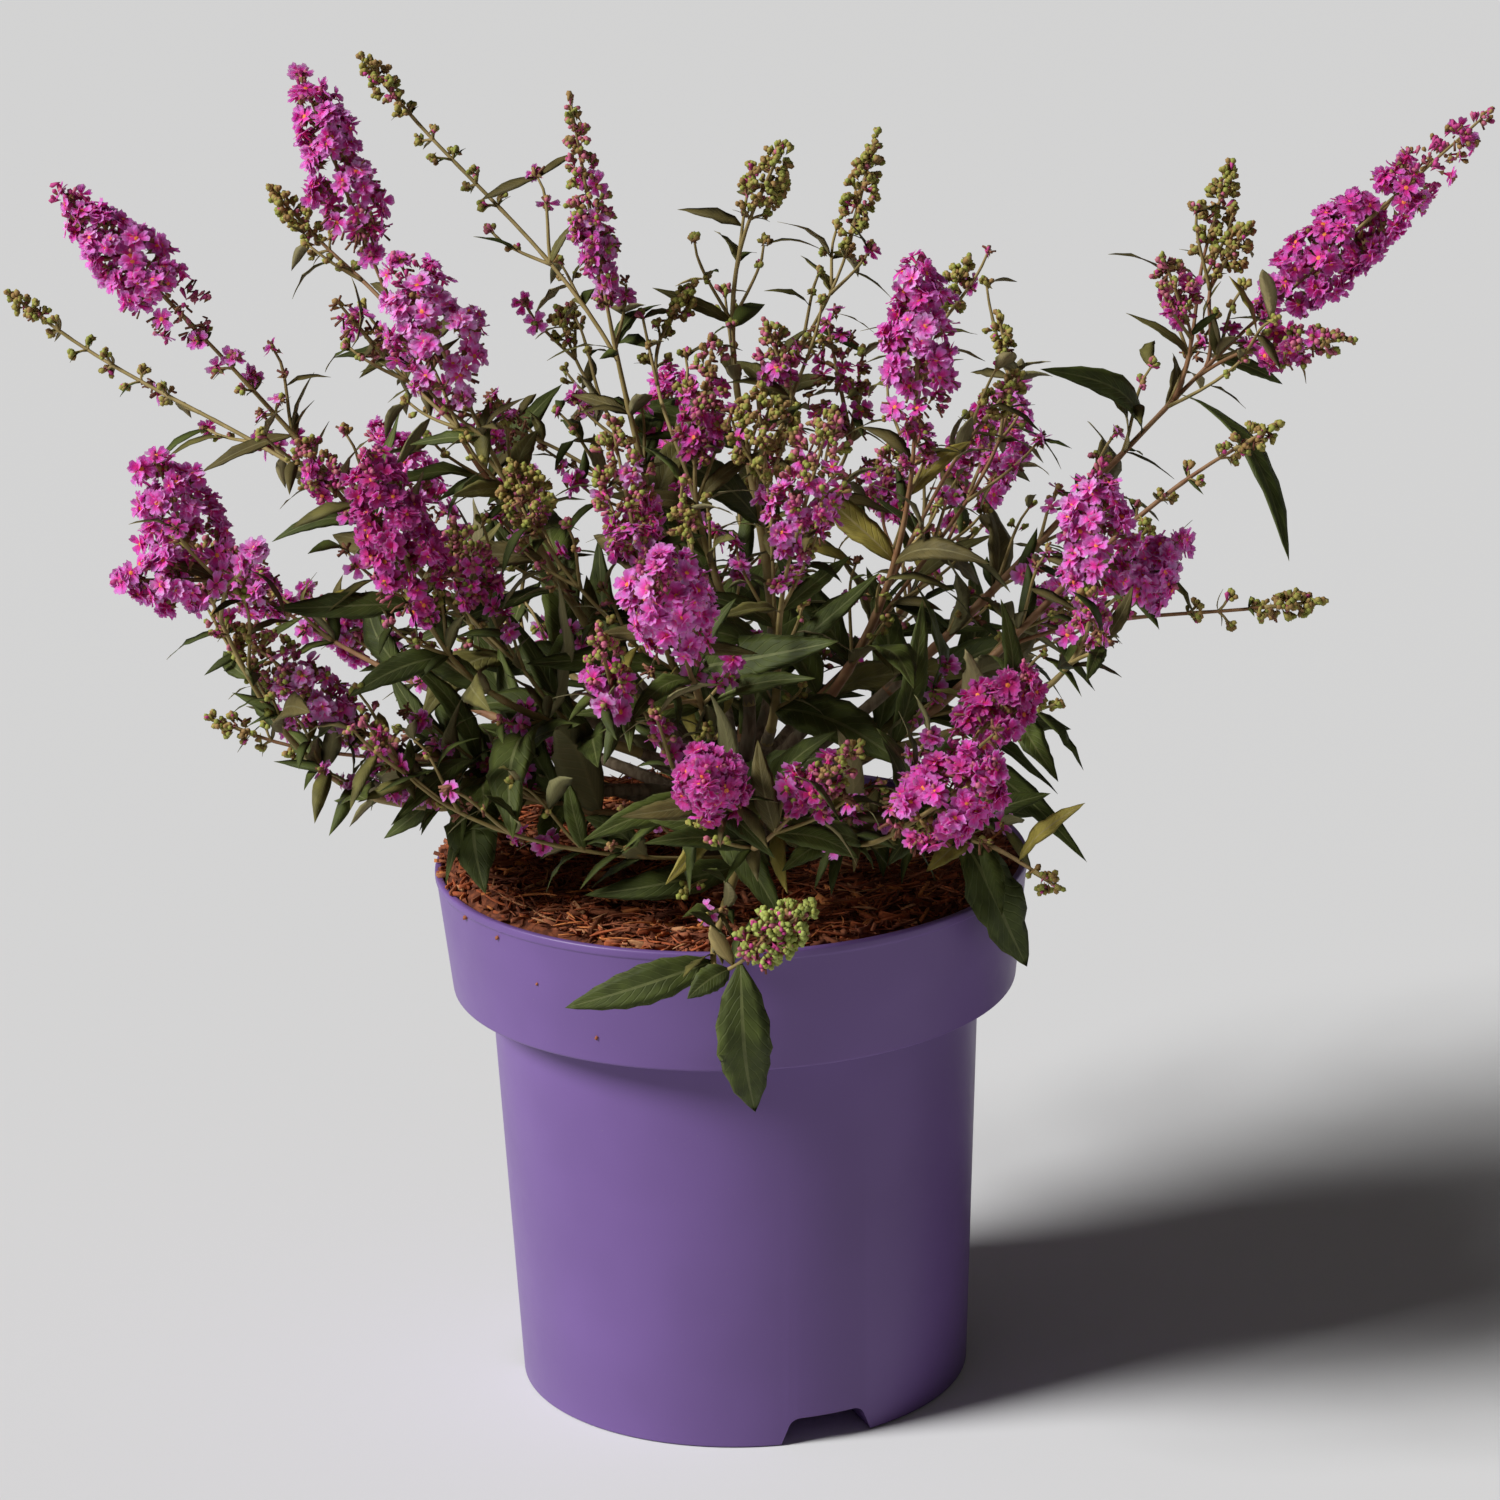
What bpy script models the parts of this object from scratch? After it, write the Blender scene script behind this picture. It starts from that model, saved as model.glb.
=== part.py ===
# A young butterfly bush in bloom, in its round nursery pot.
# Lengths are in metres, angles in degrees. The pot stands on z = 0 with its axis on Z.
# +X is to the right and +Y to the back, as seen from the front of the plant.
# A direction is given by its lean from upright and its turn, from +X towards +Y.
import math
import random

import bmesh
import bpy
import numpy as np
from mathutils.bvhtree import BVHTree

GAP = 0.0003              # clearance between neighbouring pieces
SEED = 41                 # start of every random choice

# Pot: a tapered body under a wide band that ends in a beaded rim
POT_HEIGHT = 0.2055
RIM_RADIUS = 0.1125
BEAD_HEIGHT = 0.0036
BEAD_DEPTH = 0.0006
POT_EDGE = 0.0008         # narrow chamfer at the foot of the body and of the band
BAND_HEIGHT = 0.0475
BAND_FOOT_RADIUS = 0.1072
BODY_TOP_RADIUS = 0.0930
BASE_RADIUS = 0.0862
WALL = 0.0020
FLOOR_TOP = 0.0120
POT_SECTORS = 40
CHANNEL_COUNT = 3         # drainage channels under the floor, each open through the wall
CHANNEL_TURN = -69.5
CHANNEL_HEIGHT = 0.0104
CHANNEL_FOOT_WIDTH = 0.0380
CHANNEL_TOP_WIDTH = 0.0280
CHANNEL_INNER_END = 0.0450
CHANNEL_OUTER_END = 0.0960
CUT_OVERRUN = 0.0020      # how far a cut is carried past the face it goes through
DRAIN_HOLE_RADIUS = 0.0045
DRAIN_HOLE_PLACE = 0.0620
DRAIN_HOLE_SIDES = 12

# Soil: bark mulch, heaped a little at the back and the left
SOIL_SECTORS = 20
SOIL_EDGE_HEIGHT = 0.1985
SOIL_CENTRE_HEIGHT = 0.2050
SOIL_RINGS = ((0.100, 0.0030), (0.078, 0.0055), (0.050, 0.0025))  # radius, heap
SOIL_FLAT_RADIUS = 0.0265
HEAP_TURN = 155.0
HEAP_HEIGHT = 0.0045
SOIL_ROUGHNESS = 0.0010
SOIL_SLOPE_START = 0.060  # past this radius the mulch falls towards its edge
SOIL_SLOPE_DROP = 0.0055
SOIL_WALL_GAP = 0.0006    # clearance to the wall, whose flats lie inside its circle
SOIL_EDGE_GAP = 0.0012

# Trunk: a short woody stool with a flared foot, from which every bough springs
TRUNK_FOOT_RADIUS = 0.0235
TRUNK_NECK_RADIUS = 0.0180
TRUNK_NECK_HEIGHT = 0.0090
TRUNK_DOME_HEIGHT = 0.0300
TRUNK_LEAN = 0.08         # sideways shift for each metre of height
TRUNK_SECTORS = 14
TRUNK_DOME_RINGS = 6
TRUNK_FLARE_HEIGHT = 0.0028

# Boughs and twigs
BOUGH_ROOT_RADIUS = 0.0027
STEM_TIP_RADIUS = 0.0010
SIDE_ROOT_RADIUS = 0.0013
BOUGH_SPACING = 0.0085    # between the feet of two boughs on the trunk
BOUGH_SHARE = 0.24        # part of a shoot's length that is bare bough
BOUGH_LIFT = 0.25         # upward part added to the first direction of each bough
BOUGH_LEAST_RISE = 0.12
SPREAD_ROUNDS = 300       # rounds in which the feet of the boughs push each other apart
SPREAD_STEP = 0.12
STEM_SAMPLES = 25
MAIN_HANDLES = (0.36, 0.34)       # curve handles of a main stem, as shares of its reach
MAIN_ROOT_FREE = 0.012            # length at a root that may be near its neighbours
SIDE_SAMPLES = 13
SIDE_HANDLES = (0.35, 0.30)
SIDE_ROOT_FREE = 0.006
SIDE_ANGLE = 38.0         # a side twig leaves its stem at about this angle
SIDE_REACH_COST = 120.0   # degrees that a metre of side twig counts for
SIDE_PLACES = 30          # places tried for a side twig along its stem
STEM_CLEARANCE = 0.0012
BOWS = (0.0, 0.004, 0.008, 0.012, 0.018, 0.024)   # bends tried to find a clear way
BOW_TURNS = 8
TEST_STEP = 0.002         # spacing of the points in a distance test

# Flower spikes, and the loose clusters below them
SPIKE_TESTED = (0.90, 0.45)       # share of a spike's radius at the foot and tip, in tests
SLIM_SPIKE = 0.007                # a spike of a smaller radius is given fewer rings
SLIM_PROFILE = ((0.0, 0.45), (0.35, 1.0), (0.80, 0.60), (1.0, 0.0))
SPIKE_PROFILE = ((0.0, 0.40), (0.16, 0.92), (0.45, 1.0), (0.76, 0.74), (0.94, 0.36), (1.0, 0.0))
CLUSTER_FIRST = 0.010
CLUSTER_STEP = 0.015
CLUSTER_SIZE = 0.0042
CLUSTER_FREE_FOOT = 0.020         # length at the foot of a stem that bears no clusters
CLUSTER_TESTED = 1.15             # how much larger a cluster is in tests
STEM_SUNK = 0.006                 # how far a stem runs on into its spike

# Leaves: opposite pairs, each pair turned by a right angle from the last
LEAF_THICKNESS = 0.0010
LEAF_NODE_STEP = 0.025
LEAFY_NODE_STEP = 0.014           # on a shoot with no flowers
LEAF_LENGTHS = (0.044, 0.078)     # at the flower end, at the foot of the stem
LEAF_WIDTH_SHARE = 0.26
LEAF_WIDEST = 0.42
LEAF_ARCH = 0.09
LEAF_ANGLE = 60.0
LEAF_DROOP = 0.14
LEAF_ROLL = 38.0
LEAF_PAIR_OFFSET = 0.0004         # the two leaves of a pair are set this far off centre
LEAF_FREE_MAIN = (0.008, 0.008)   # bare length at the foot and the end of a main stem
LEAF_FREE_SIDE = (0.016, 0.006)
LEAF_CLEARANCE = 0.0005
LEAF_TESTED_FROM = 0.0055         # distance from the root at which the tests start
LEAF_TRIES = 4                    # places tried about the stem before a leaf is skipped

# Underside of the crown: the least height of a leaf's tip at each distance from the axis
CROWN_UNDERSIDE = ((0.0, 0.207), (0.115, 0.207), (0.170, 0.255), (0.300, 0.411))

# Each shoot is one bough and the mass that it carries. Its first flower spike ends the
# main stem, and the others end side twigs. A spike is given by what it bears, its tip
# (right, back, up), its lean and turn, its length and radius, and the length of loose
# clusters below it.
SHOOTS = {
    "outer_left": [
        ("bloom", (-0.241, 0.020, 0.465), 43, 170, 0.072, 0.015, 0.045),
        ("bud", (-0.272, 0.090, 0.412), 55, 162, 0.020, 0.004, 0.070)],
    "high_left": [
        ("bloom", (-0.153, 0.060, 0.499), 20, 161, 0.070, 0.014, 0.012),
        ("bud", (-0.169, 0.080, 0.452), 44, 165, 0.028, 0.005, 0.020)],
    "upper_left": [
        ("bloom", (-0.115, -0.020, 0.444), 23, 180, 0.054, 0.018, 0.012),
        ("spent", (-0.140, 0.010, 0.422), 37, 180, 0.022, 0.007, 0.012)],
    "middle_left": [
        ("bloom", (-0.201, -0.080, 0.388), 18, -159, 0.055, 0.017, 0.030),
        ("bloom", (-0.214, -0.100, 0.347), 84, -163, 0.035, 0.012, 0.0)],
    "front_left": [
        ("bloom", (-0.126, -0.080, 0.388), 18, -151, 0.067, 0.016, 0.012),
        ("half", (-0.153, -0.040, 0.382), 34, 180, 0.030, 0.009, 0.012),
        ("half", (-0.098, -0.050, 0.353), 23, -138, 0.038, 0.010, 0.0)],
    "low_left": [
        ("half", (-0.185, -0.060, 0.323), 48, 180, 0.065, 0.012, 0.020),
        ("bud", (-0.193, -0.030, 0.275), 67, 180, 0.020, 0.004, 0.020)],
    "low_front": [
        ("bud", (0.028, -0.150, 0.236), 49, -12, 0.031, 0.010, 0.0),
        ("half", (-0.131, -0.090, 0.291), 34, 180, 0.021, 0.006, 0.0)],
    "front_centre": [
        ("bloom", (-0.023, -0.165, 0.364), 51, -98, 0.065, 0.017, 0.0),
        ("half", (-0.045, -0.120, 0.330), 20, -120, 0.033, 0.009, 0.0)],
    "low_centre": [
        ("bloom", (-0.008, -0.175, 0.295), 59, -94, 0.047, 0.013, 0.0),
        ("half", (-0.027, -0.110, 0.300), 15, 180, 0.020, 0.005, 0.0)],
    "front_right": [
        ("half", (0.047, -0.140, 0.292), 44, 0, 0.038, 0.009, 0.0)],
    "low_right": [
        ("bloom", (0.093, -0.165, 0.289), 55, -43, 0.053, 0.017, 0.0),
        ("bloom", (0.109, -0.100, 0.305), 38, -21, 0.044, 0.013, 0.0)],
    "middle_right": [
        ("bloom", (0.137, -0.060, 0.371), 4, 0, 0.053, 0.015, 0.020),
        ("bloom", (0.167, -0.050, 0.339), 37, -28, 0.036, 0.011, 0.0),
        ("half", (0.127, -0.090, 0.331), 26, -146, 0.020, 0.008, 0.0)],
    "far_right": [
        ("bud", (0.206, -0.020, 0.373), 61, 0, 0.020, 0.005, 0.045),
        ("bud", (0.223, -0.010, 0.302), 85, 0, 0.022, 0.005, 0.035)],
    "outer_right": [
        ("bloom", (0.292, 0.050, 0.474), 50, 7, 0.110, 0.013, 0.020),
        ("half", (0.167, 0.030, 0.426), 20, 180, 0.027, 0.010, 0.0),
        ("half", (0.234, 0.000, 0.399), 79, -32, 0.039, 0.009, 0.0),
        ("bud", (0.197, 0.070, 0.454), 20, 27, 0.033, 0.006, 0.012),
        ("bud", (0.202, 0.050, 0.433), 35, 0, 0.023, 0.006, 0.0)],
    "upper_right": [
        ("bloom", (0.075, -0.020, 0.439), 3, 0, 0.063, 0.015, 0.020),
        ("bud", (0.094, 0.020, 0.429), 27, 0, 0.025, 0.006, 0.0),
        ("bud", (0.107, 0.060, 0.400), 10, 180, 0.020, 0.004, 0.0),
        ("bud", (0.113, 0.020, 0.384), 40, 0, 0.022, 0.006, 0.012)],
    "centre_right": [
        ("half", (0.040, -0.070, 0.393), 17, 0, 0.050, 0.015, 0.020),
        ("bud", (0.014, -0.010, 0.389), 5, 180, 0.031, 0.011, 0.0)],
    "centre_left": [
        ("half", (-0.039, -0.050, 0.389), 15, 131, 0.051, 0.014, 0.0),
        ("bud", (-0.014, -0.080, 0.365), 11, 180, 0.015, 0.005, 0.0),
        ("bud", (-0.076, -0.030, 0.368), 20, 180, 0.025, 0.008, 0.0)],
    "centre": [
        ("half", (-0.001, 0.000, 0.407), 10, 0, 0.044, 0.010, 0.012),
        ("bud", (-0.007, 0.050, 0.417), 35, 0, 0.020, 0.005, 0.020),
        ("spent", (-0.105, 0.030, 0.377), 68, 180, 0.036, 0.010, 0.0)],
    "high_centre": [
        ("half", (-0.052, 0.040, 0.490), 8, 180, 0.074, 0.009, 0.015),
        ("bud", (-0.133, 0.100, 0.498), 41, 161, 0.024, 0.005, 0.060),
        ("bud", (-0.061, 0.080, 0.402), 17, 180, 0.015, 0.005, 0.0)],
    "high_right": [
        ("bud", (0.027, 0.060, 0.466), 26, 0, 0.025, 0.007, 0.015),
        ("half", (0.018, 0.040, 0.403), 20, 180, 0.026, 0.010, 0.0),
        ("bud", (0.064, 0.110, 0.462), 20, 39, 0.045, 0.006, 0.015),
        ("spent", (0.042, 0.060, 0.398), 10, 180, 0.043, 0.013, 0.0)],
    "back_centre": [
        ("bloom", (-0.020, 0.205, 0.350), 42, 95, 0.060, 0.015, 0.020),
        ("bud", (0.030, 0.170, 0.345), 30, 60, 0.025, 0.006, 0.012)],
    "back_left": [
        ("bloom", (-0.140, 0.180, 0.335), 46, 130, 0.060, 0.015, 0.020),
        ("half", (-0.085, 0.190, 0.320), 50, 105, 0.032, 0.010, 0.0)],
    "back_right": [
        ("bloom", (0.120, 0.175, 0.345), 44, 55, 0.062, 0.015, 0.020),
        ("half", (0.070, 0.200, 0.315), 52, 80, 0.032, 0.010, 0.0)],
    "far_back_right": [
        ("half", (0.155, 0.165, 0.278), 62, 45, 0.050, 0.012, 0.020),
        ("bud", (0.170, 0.110, 0.300), 45, 20, 0.022, 0.005, 0.020)],
    "far_back_left": [
        ("half", (-0.215, 0.115, 0.305), 62, 155, 0.050, 0.012, 0.020),
        ("bloom", (-0.165, 0.135, 0.270), 70, 140, 0.036, 0.012, 0.0)],
    "rim_right": [
        ("bud", (0.118, -0.100, 0.222), 112, -40, 0.012, 0.004, 0.0)],
    "rim_left": [
        ("leafy", (-0.115, -0.045, 0.262), 62, 200, 0.012, 0.003, 0.0)],
    "rim_back": [
        ("leafy", (0.010, 0.135, 0.252), 68, 85, 0.012, 0.003, 0.0)],
}

# Single leaves that stand out: the shoot, the place on its main stem (0 to 1), the tip
# and the width
LONE_LEAVES = (
    ("low_front", 0.97, (0.006, -0.130, 0.151), 0.016),
    ("low_front", 0.80, (-0.061, -0.128, 0.192), 0.012),
    ("low_front", 0.93, (-0.017, -0.150, 0.202), 0.008),
    ("rim_right", 0.70, (0.108, -0.064, 0.180), 0.018),
    ("outer_right", 0.82, (0.208, -0.030, 0.323), 0.013),
    ("outer_right", 0.74, (0.119, 0.000, 0.391), 0.010),
    ("rim_left", 0.80, (-0.090, -0.078, 0.219), 0.018),
    ("low_left", 0.62, (-0.122, -0.096, 0.252), 0.009),
    ("middle_right", 0.40, (0.130, -0.070, 0.222), 0.010),
)

# Base colour, roughness and metallic value of each kind of sub-part
FINISHES = {
    "pot": ((0.155, 0.086, 0.270, 1.0), 0.42, 0.0),
    "soil": ((0.190, 0.050, 0.018, 1.0), 0.90, 0.0),
    "trunk": ((0.130, 0.085, 0.045, 1.0), 0.85, 0.0),
    "bough": ((0.160, 0.120, 0.050, 1.0), 0.75, 0.0),
    "foliage": ((0.060, 0.068, 0.022, 1.0), 0.60, 0.0),
    "flowering": ((0.500, 0.090, 0.270, 1.0), 0.60, 0.0),
}


def unit(v):
    """Unit vector along v."""
    v = np.asarray(v, float)
    return v / np.linalg.norm(v)


def direction(lean, turn):
    """Unit vector with this lean from upright and this turn from +X."""
    lean = math.radians(lean)
    turn = math.radians(turn)
    flat = math.sin(lean)
    return np.array([flat * math.cos(turn), flat * math.sin(turn), math.cos(lean)])


def across(v):
    """Any unit vector at right angles to v."""
    helper = (0, 0, 1) if abs(v[2]) < 0.9 else (1, 0, 0)
    return unit(np.cross(v, helper))


def turned(v, axis, angle):
    """v turned about a unit axis by an angle in radians."""
    c = math.cos(angle)
    s = math.sin(angle)
    return v * c + np.cross(axis, v) * s + axis * np.dot(axis, v) * (1 - c)


def bezier(start, start_handle, end_handle, end, count):
    """Points along a cubic curve."""
    t = np.linspace(0, 1, count)[:, None]
    return ((1 - t) ** 3 * start + 3 * (1 - t) ** 2 * t * start_handle
            + 3 * (1 - t) * t ** 2 * end_handle + t ** 3 * end)


def lengths_along(points):
    """Distance of each point from the first, along the line."""
    steps = np.linalg.norm(np.diff(points, axis=0), axis=1)
    return np.concatenate([[0.0], np.cumsum(steps)])


def at_length(points, where):
    """Point and tangent of a line at a distance from its start."""
    s = lengths_along(points)
    place = np.array([np.interp(where, s, points[:, k]) for k in range(3)])
    i = int(np.clip(np.searchsorted(s, where), 1, len(s) - 1))
    return place, unit(points[i] - points[i - 1])


# Growth

def trunk_point(normal, lift=0.0):
    """Point of the trunk's dome whose outward normal this is, moved out by lift."""
    flat = math.hypot(normal[0], normal[1])
    a = TRUNK_NECK_RADIUS
    c = TRUNK_DOME_HEIGHT
    size = math.sqrt((a * flat) ** 2 + (c * normal[2]) ** 2)
    point = np.array([a * a * normal[0], a * a * normal[1], c * c * normal[2]]) / size
    height = TRUNK_NECK_HEIGHT + point[2]
    foot = SOIL_CENTRE_HEIGHT + GAP
    return np.array([point[0] + TRUNK_LEAN * height, point[1], foot + height]) + normal * lift


def bough_directions():
    """Directions in which the boughs leave the trunk, spread until their feet are apart."""
    wanted = []
    for spikes in SHOOTS.values():
        tip = np.array(spikes[0][1]) - (0, 0, SOIL_CENTRE_HEIGHT)
        wanted.append(unit(unit(tip) + (0, 0, BOUGH_LIFT)))
    wanted = np.array(wanted)
    for _ in range(SPREAD_ROUNDS):
        feet = np.array([trunk_point(n) for n in wanted])
        push = np.zeros_like(wanted)
        for i in range(len(wanted)):
            apart = feet[i] - feet
            distance = np.linalg.norm(apart, axis=1)
            near = (distance < BOUGH_SPACING) & (distance > 0)
            for j in np.nonzero(near)[0]:
                push[i] += apart[j] / distance[j] * (1 - distance[j] / BOUGH_SPACING)
        wanted = np.array([unit(n + SPREAD_STEP * p) for n, p in zip(wanted, push)])
        wanted[:, 2] = np.maximum(wanted[:, 2], BOUGH_LEAST_RISE)
    return [unit(n) for n in wanted]


def too_near(points, radius, others, skip):
    """True if a line of this radius comes too near to one of the other round pieces."""
    s = lengths_along(points)
    mine = points[s >= skip]
    for line, thick in others:
        gap = np.linalg.norm(mine[:, None] - line[None], axis=2) - thick[None]
        if gap.min() < radius + STEM_CLEARANCE:
            return True
    return False


def bowed(points, bow):
    """A line pushed sideways, most in its middle."""
    t = np.linspace(0, 1, len(points))[:, None]
    return points + np.sin(np.pi * t) ** 2 * bow


def clear_line(points, radius, others, skip):
    """The line, bent aside by the least bow that keeps it clear of the others."""
    chord = unit(points[-1] - points[0])
    first = across(chord)
    for size in BOWS:
        for k in range(BOW_TURNS):
            bow = size * turned(first, chord, k * math.tau / BOW_TURNS)
            trial = bowed(points, bow)
            if not too_near(trial, radius, others, skip):
                return trial
            if size == 0.0:
                break
    return points


def fine(points, radii):
    """A line and its radii, sampled more finely for distance tests."""
    s = lengths_along(points)
    at = np.linspace(0, s[-1], max(2, int(s[-1] / TEST_STEP)))
    line = np.stack([np.interp(at, s, points[:, k]) for k in range(3)], axis=1)
    return line, np.interp(at, s, radii)


def spike_from_row(row):
    """A flower spike as a dictionary, with its foot worked out."""
    kind, tip, lean, turn, length, radius, loose = row
    along = direction(lean, turn)
    tip = np.array(tip)
    return {"kind": kind, "tip": tip, "foot": tip - along * length, "along": along,
            "length": length, "radius": radius, "loose": loose}


def spike_for_tests(spike):
    """A spike as a line and its radii, for distance tests."""
    first, last = SPIKE_TESTED
    foot = spike["foot"] + spike["along"] * spike["radius"] * 0.6
    return fine(np.array([foot, spike["tip"]]), spike["radius"] * np.array([first, last]))


def side_radii(side):
    """Radii along a side twig."""
    return np.linspace(SIDE_ROOT_RADIUS, STEM_TIP_RADIUS, len(side))


def grow_skeleton():
    """Main stems, side twigs and flower spikes of every shoot, clear of each other."""
    shoots = []
    for (name, rows), start in zip(SHOOTS.items(), bough_directions()):
        spikes = [spike_from_row(row) for row in rows]
        shoots.append({"name": name, "start": start, "spikes": spikes, "sides": []})
    taken = {}
    for shoot in shoots:
        taken[shoot["name"]] = [spike_for_tests(spike) for spike in shoot["spikes"]]
    for shoot in shoots:
        others = [x for name, xs in taken.items() if name != shoot["name"] for x in xs]
        main = shoot["spikes"][0]
        root = trunk_point(shoot["start"], GAP)
        reach = np.linalg.norm(main["foot"] - root)
        line = bezier(root, root + shoot["start"] * reach * MAIN_HANDLES[0],
                      main["foot"] - main["along"] * reach * MAIN_HANDLES[1], main["foot"],
                      STEM_SAMPLES)
        line = clear_line(line, BOUGH_ROOT_RADIUS, others, MAIN_ROOT_FREE)
        shoot["main"] = line
        shoot["radii"] = np.linspace(BOUGH_ROOT_RADIUS, STEM_TIP_RADIUS, len(line))
        taken[shoot["name"]].append(fine(line, shoot["radii"]))
    for shoot in shoots:
        others = [x for name, xs in taken.items() if name != shoot["name"] for x in xs]
        for spike in shoot["spikes"][1:]:
            side = side_twig(shoot, spike, others)
            shoot["sides"].append(side)
            taken[shoot["name"]].append(fine(side, side_radii(side)))
    return shoots


def side_twig(shoot, spike, others):
    """The line of a side twig, from the best place on the main stem to a spike's foot."""
    line = shoot["main"]
    total = lengths_along(line)[-1]
    best = None
    for share in np.linspace(BOUGH_SHARE + 0.06, 0.94, SIDE_PLACES):
        place, tangent = at_length(line, share * total)
        way = spike["foot"] - place
        angle = math.degrees(math.acos(np.clip(np.dot(tangent, unit(way)), -1, 1)))
        cost = abs(angle - SIDE_ANGLE) + SIDE_REACH_COST * np.linalg.norm(way)
        if best is None or cost < best[0]:
            best = (cost, place, tangent, way)
    _, place, tangent, way = best
    reach = np.linalg.norm(way)
    set_off = unit(tangent + unit(way) * 1.4)
    side = bezier(place, place + set_off * reach * SIDE_HANDLES[0],
                  spike["foot"] - spike["along"] * reach * SIDE_HANDLES[1], spike["foot"],
                  SIDE_SAMPLES)
    return clear_line(side, SIDE_ROOT_RADIUS, others, SIDE_ROOT_FREE)


def leaf_pairs(line, start, end, step, rng):
    """Leaves in crossed pairs along a line, between two distances from its start."""
    leaves = []
    spin = rng.uniform(0, math.pi)
    where = end
    while where > start:
        place, tangent = at_length(line, where)
        share = (end - where) / max(end - start, 1e-6)
        size = LEAF_LENGTHS[0] + (LEAF_LENGTHS[1] - LEAF_LENGTHS[0]) * min(1.0, share * 1.3)
        for side in (0, 1):
            out = turned(across(tangent), tangent, spin + side * math.pi)
            angle = math.radians(LEAF_ANGLE + rng.uniform(-9, 9))
            length = size * rng.uniform(0.85, 1.15)
            way = tangent * math.cos(angle) + out * math.sin(angle)
            way = unit(way - np.array([0, 0, LEAF_DROOP * rng.uniform(0.5, 1.5)]))
            offset = tangent * (LEAF_PAIR_OFFSET if side else -LEAF_PAIR_OFFSET)
            leaves.append({"root": place + offset, "tip": place + offset + way * length,
                           "stem": tangent, "lone": False,
                           "width": length * LEAF_WIDTH_SHARE * rng.uniform(0.9, 1.1),
                           "roll": math.radians(rng.uniform(-LEAF_ROLL, LEAF_ROLL))})
        spin += math.pi / 2 + rng.uniform(-0.25, 0.25)
        where -= step * rng.uniform(0.85, 1.15)
    return leaves


def in_crown(tip):
    """True if a leaf's tip is above the underside of the crown."""
    radii, heights = zip(*CROWN_UNDERSIDE)
    return tip[2] > np.interp(math.hypot(tip[0], tip[1]), radii, heights)


def tried_again(leaf, count):
    """The same leaf set off further round its stem, a little shorter each time."""
    way = (leaf["tip"] - leaf["root"]) * (1 - 0.07 * count)
    swing = math.radians(40) * ((count + 1) // 2) * (-1 if count % 2 else 1)
    moved = dict(leaf)
    moved["tip"] = leaf["root"] + turned(way, leaf["stem"], swing)
    return moved


def grow_leaves(shoot, rng):
    """Every leaf that the rule asks for on a shoot's mass, the lone ones first."""
    line = shoot["main"]
    total = lengths_along(line)[-1]
    leaves = []
    for name, share, tip, width in LONE_LEAVES:
        if name == shoot["name"]:
            place, tangent = at_length(line, share * total)
            leaves.append({"root": place, "tip": np.array(tip), "width": width, "roll": 0.0,
                           "stem": tangent, "lone": True})
    foot, end = LEAF_FREE_MAIN
    step = LEAFY_NODE_STEP if shoot["spikes"][0]["kind"] == "leafy" else LEAF_NODE_STEP
    leaves += leaf_pairs(line, total * BOUGH_SHARE + foot,
                         total - shoot["spikes"][0]["loose"] - end, step, rng)
    foot, end = LEAF_FREE_SIDE
    for side, spike in zip(shoot["sides"], shoot["spikes"][1:]):
        long = lengths_along(side)[-1]
        leaves += leaf_pairs(side, foot, long - spike["loose"] - end, step, rng)
    return leaves


# Solids

def frames(points):
    """Two unit vectors across a line at each point, with no twist between them."""
    tangents = np.gradient(points, axis=0)
    tangents = [unit(t) for t in tangents]
    u = across(tangents[0])
    pairs = []
    for t in tangents:
        u = unit(u - t * np.dot(u, t))
        pairs.append((u, np.cross(t, u)))
    return pairs


def rings_solid(points, radii, sides, pointed=False):
    """A closed solid of rings along a line, with a flat foot and a flat or pointed end."""
    verts = []
    faces = []
    pairs = frames(points)
    count = len(points) - 1 if pointed else len(points)
    for i in range(count):
        u, v = pairs[i]
        for k in range(sides):
            a = 2 * math.pi * k / sides
            verts.append(points[i] + (u * math.cos(a) + v * math.sin(a)) * radii[i])
    for i in range(count - 1):
        for k in range(sides):
            n = (k + 1) % sides
            faces.append((i * sides + k, i * sides + n, (i + 1) * sides + n, (i + 1) * sides + k))
    faces.append(tuple(reversed(range(sides))))
    last = (count - 1) * sides
    if pointed:
        verts.append(points[-1])
        for k in range(sides):
            faces.append((last + k, last + (k + 1) % sides, len(verts) - 1))
    else:
        faces.append(tuple(last + k for k in range(sides)))
    return verts, faces


def thinned(points, radii, step):
    """Every step-th point of a line, with its end kept."""
    keep = list(range(0, len(points) - 1, step))
    if len(points) - 1 - keep[-1] < step and len(keep) > 1:
        keep.pop()
    keep.append(len(points) - 1)
    return points[keep], np.asarray(radii)[keep]


def spike_solid(spike, rng):
    """A knobbly faceted cone, its foot sunk on the stem that carries it."""
    slim = spike["radius"] < SLIM_SPIKE
    profile = SLIM_PROFILE if slim else SPIKE_PROFILE
    sides = 5 if slim else 6
    points = np.array([spike["foot"] + spike["along"] * spike["length"] * t for t, _ in profile])
    radii = [spike["radius"] * r * rng.uniform(0.92, 1.08) for _, r in profile]
    return rings_solid(points, radii, sides, pointed=True)


def cluster_solid(place, tangent, out, size):
    """An eight-faced lump that stands for one pair of loose flower clusters."""
    other = np.cross(tangent, out)
    verts = [place + out * size, place - out * size, place + other * size * 0.55,
             place - other * size * 0.55, place + tangent * size * 0.62,
             place - tangent * size * 0.50]
    faces = [(0, 2, 4), (2, 1, 4), (1, 3, 4), (3, 0, 4), (2, 0, 5), (1, 2, 5), (3, 1, 5), (0, 3, 5)]
    return verts, faces


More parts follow.
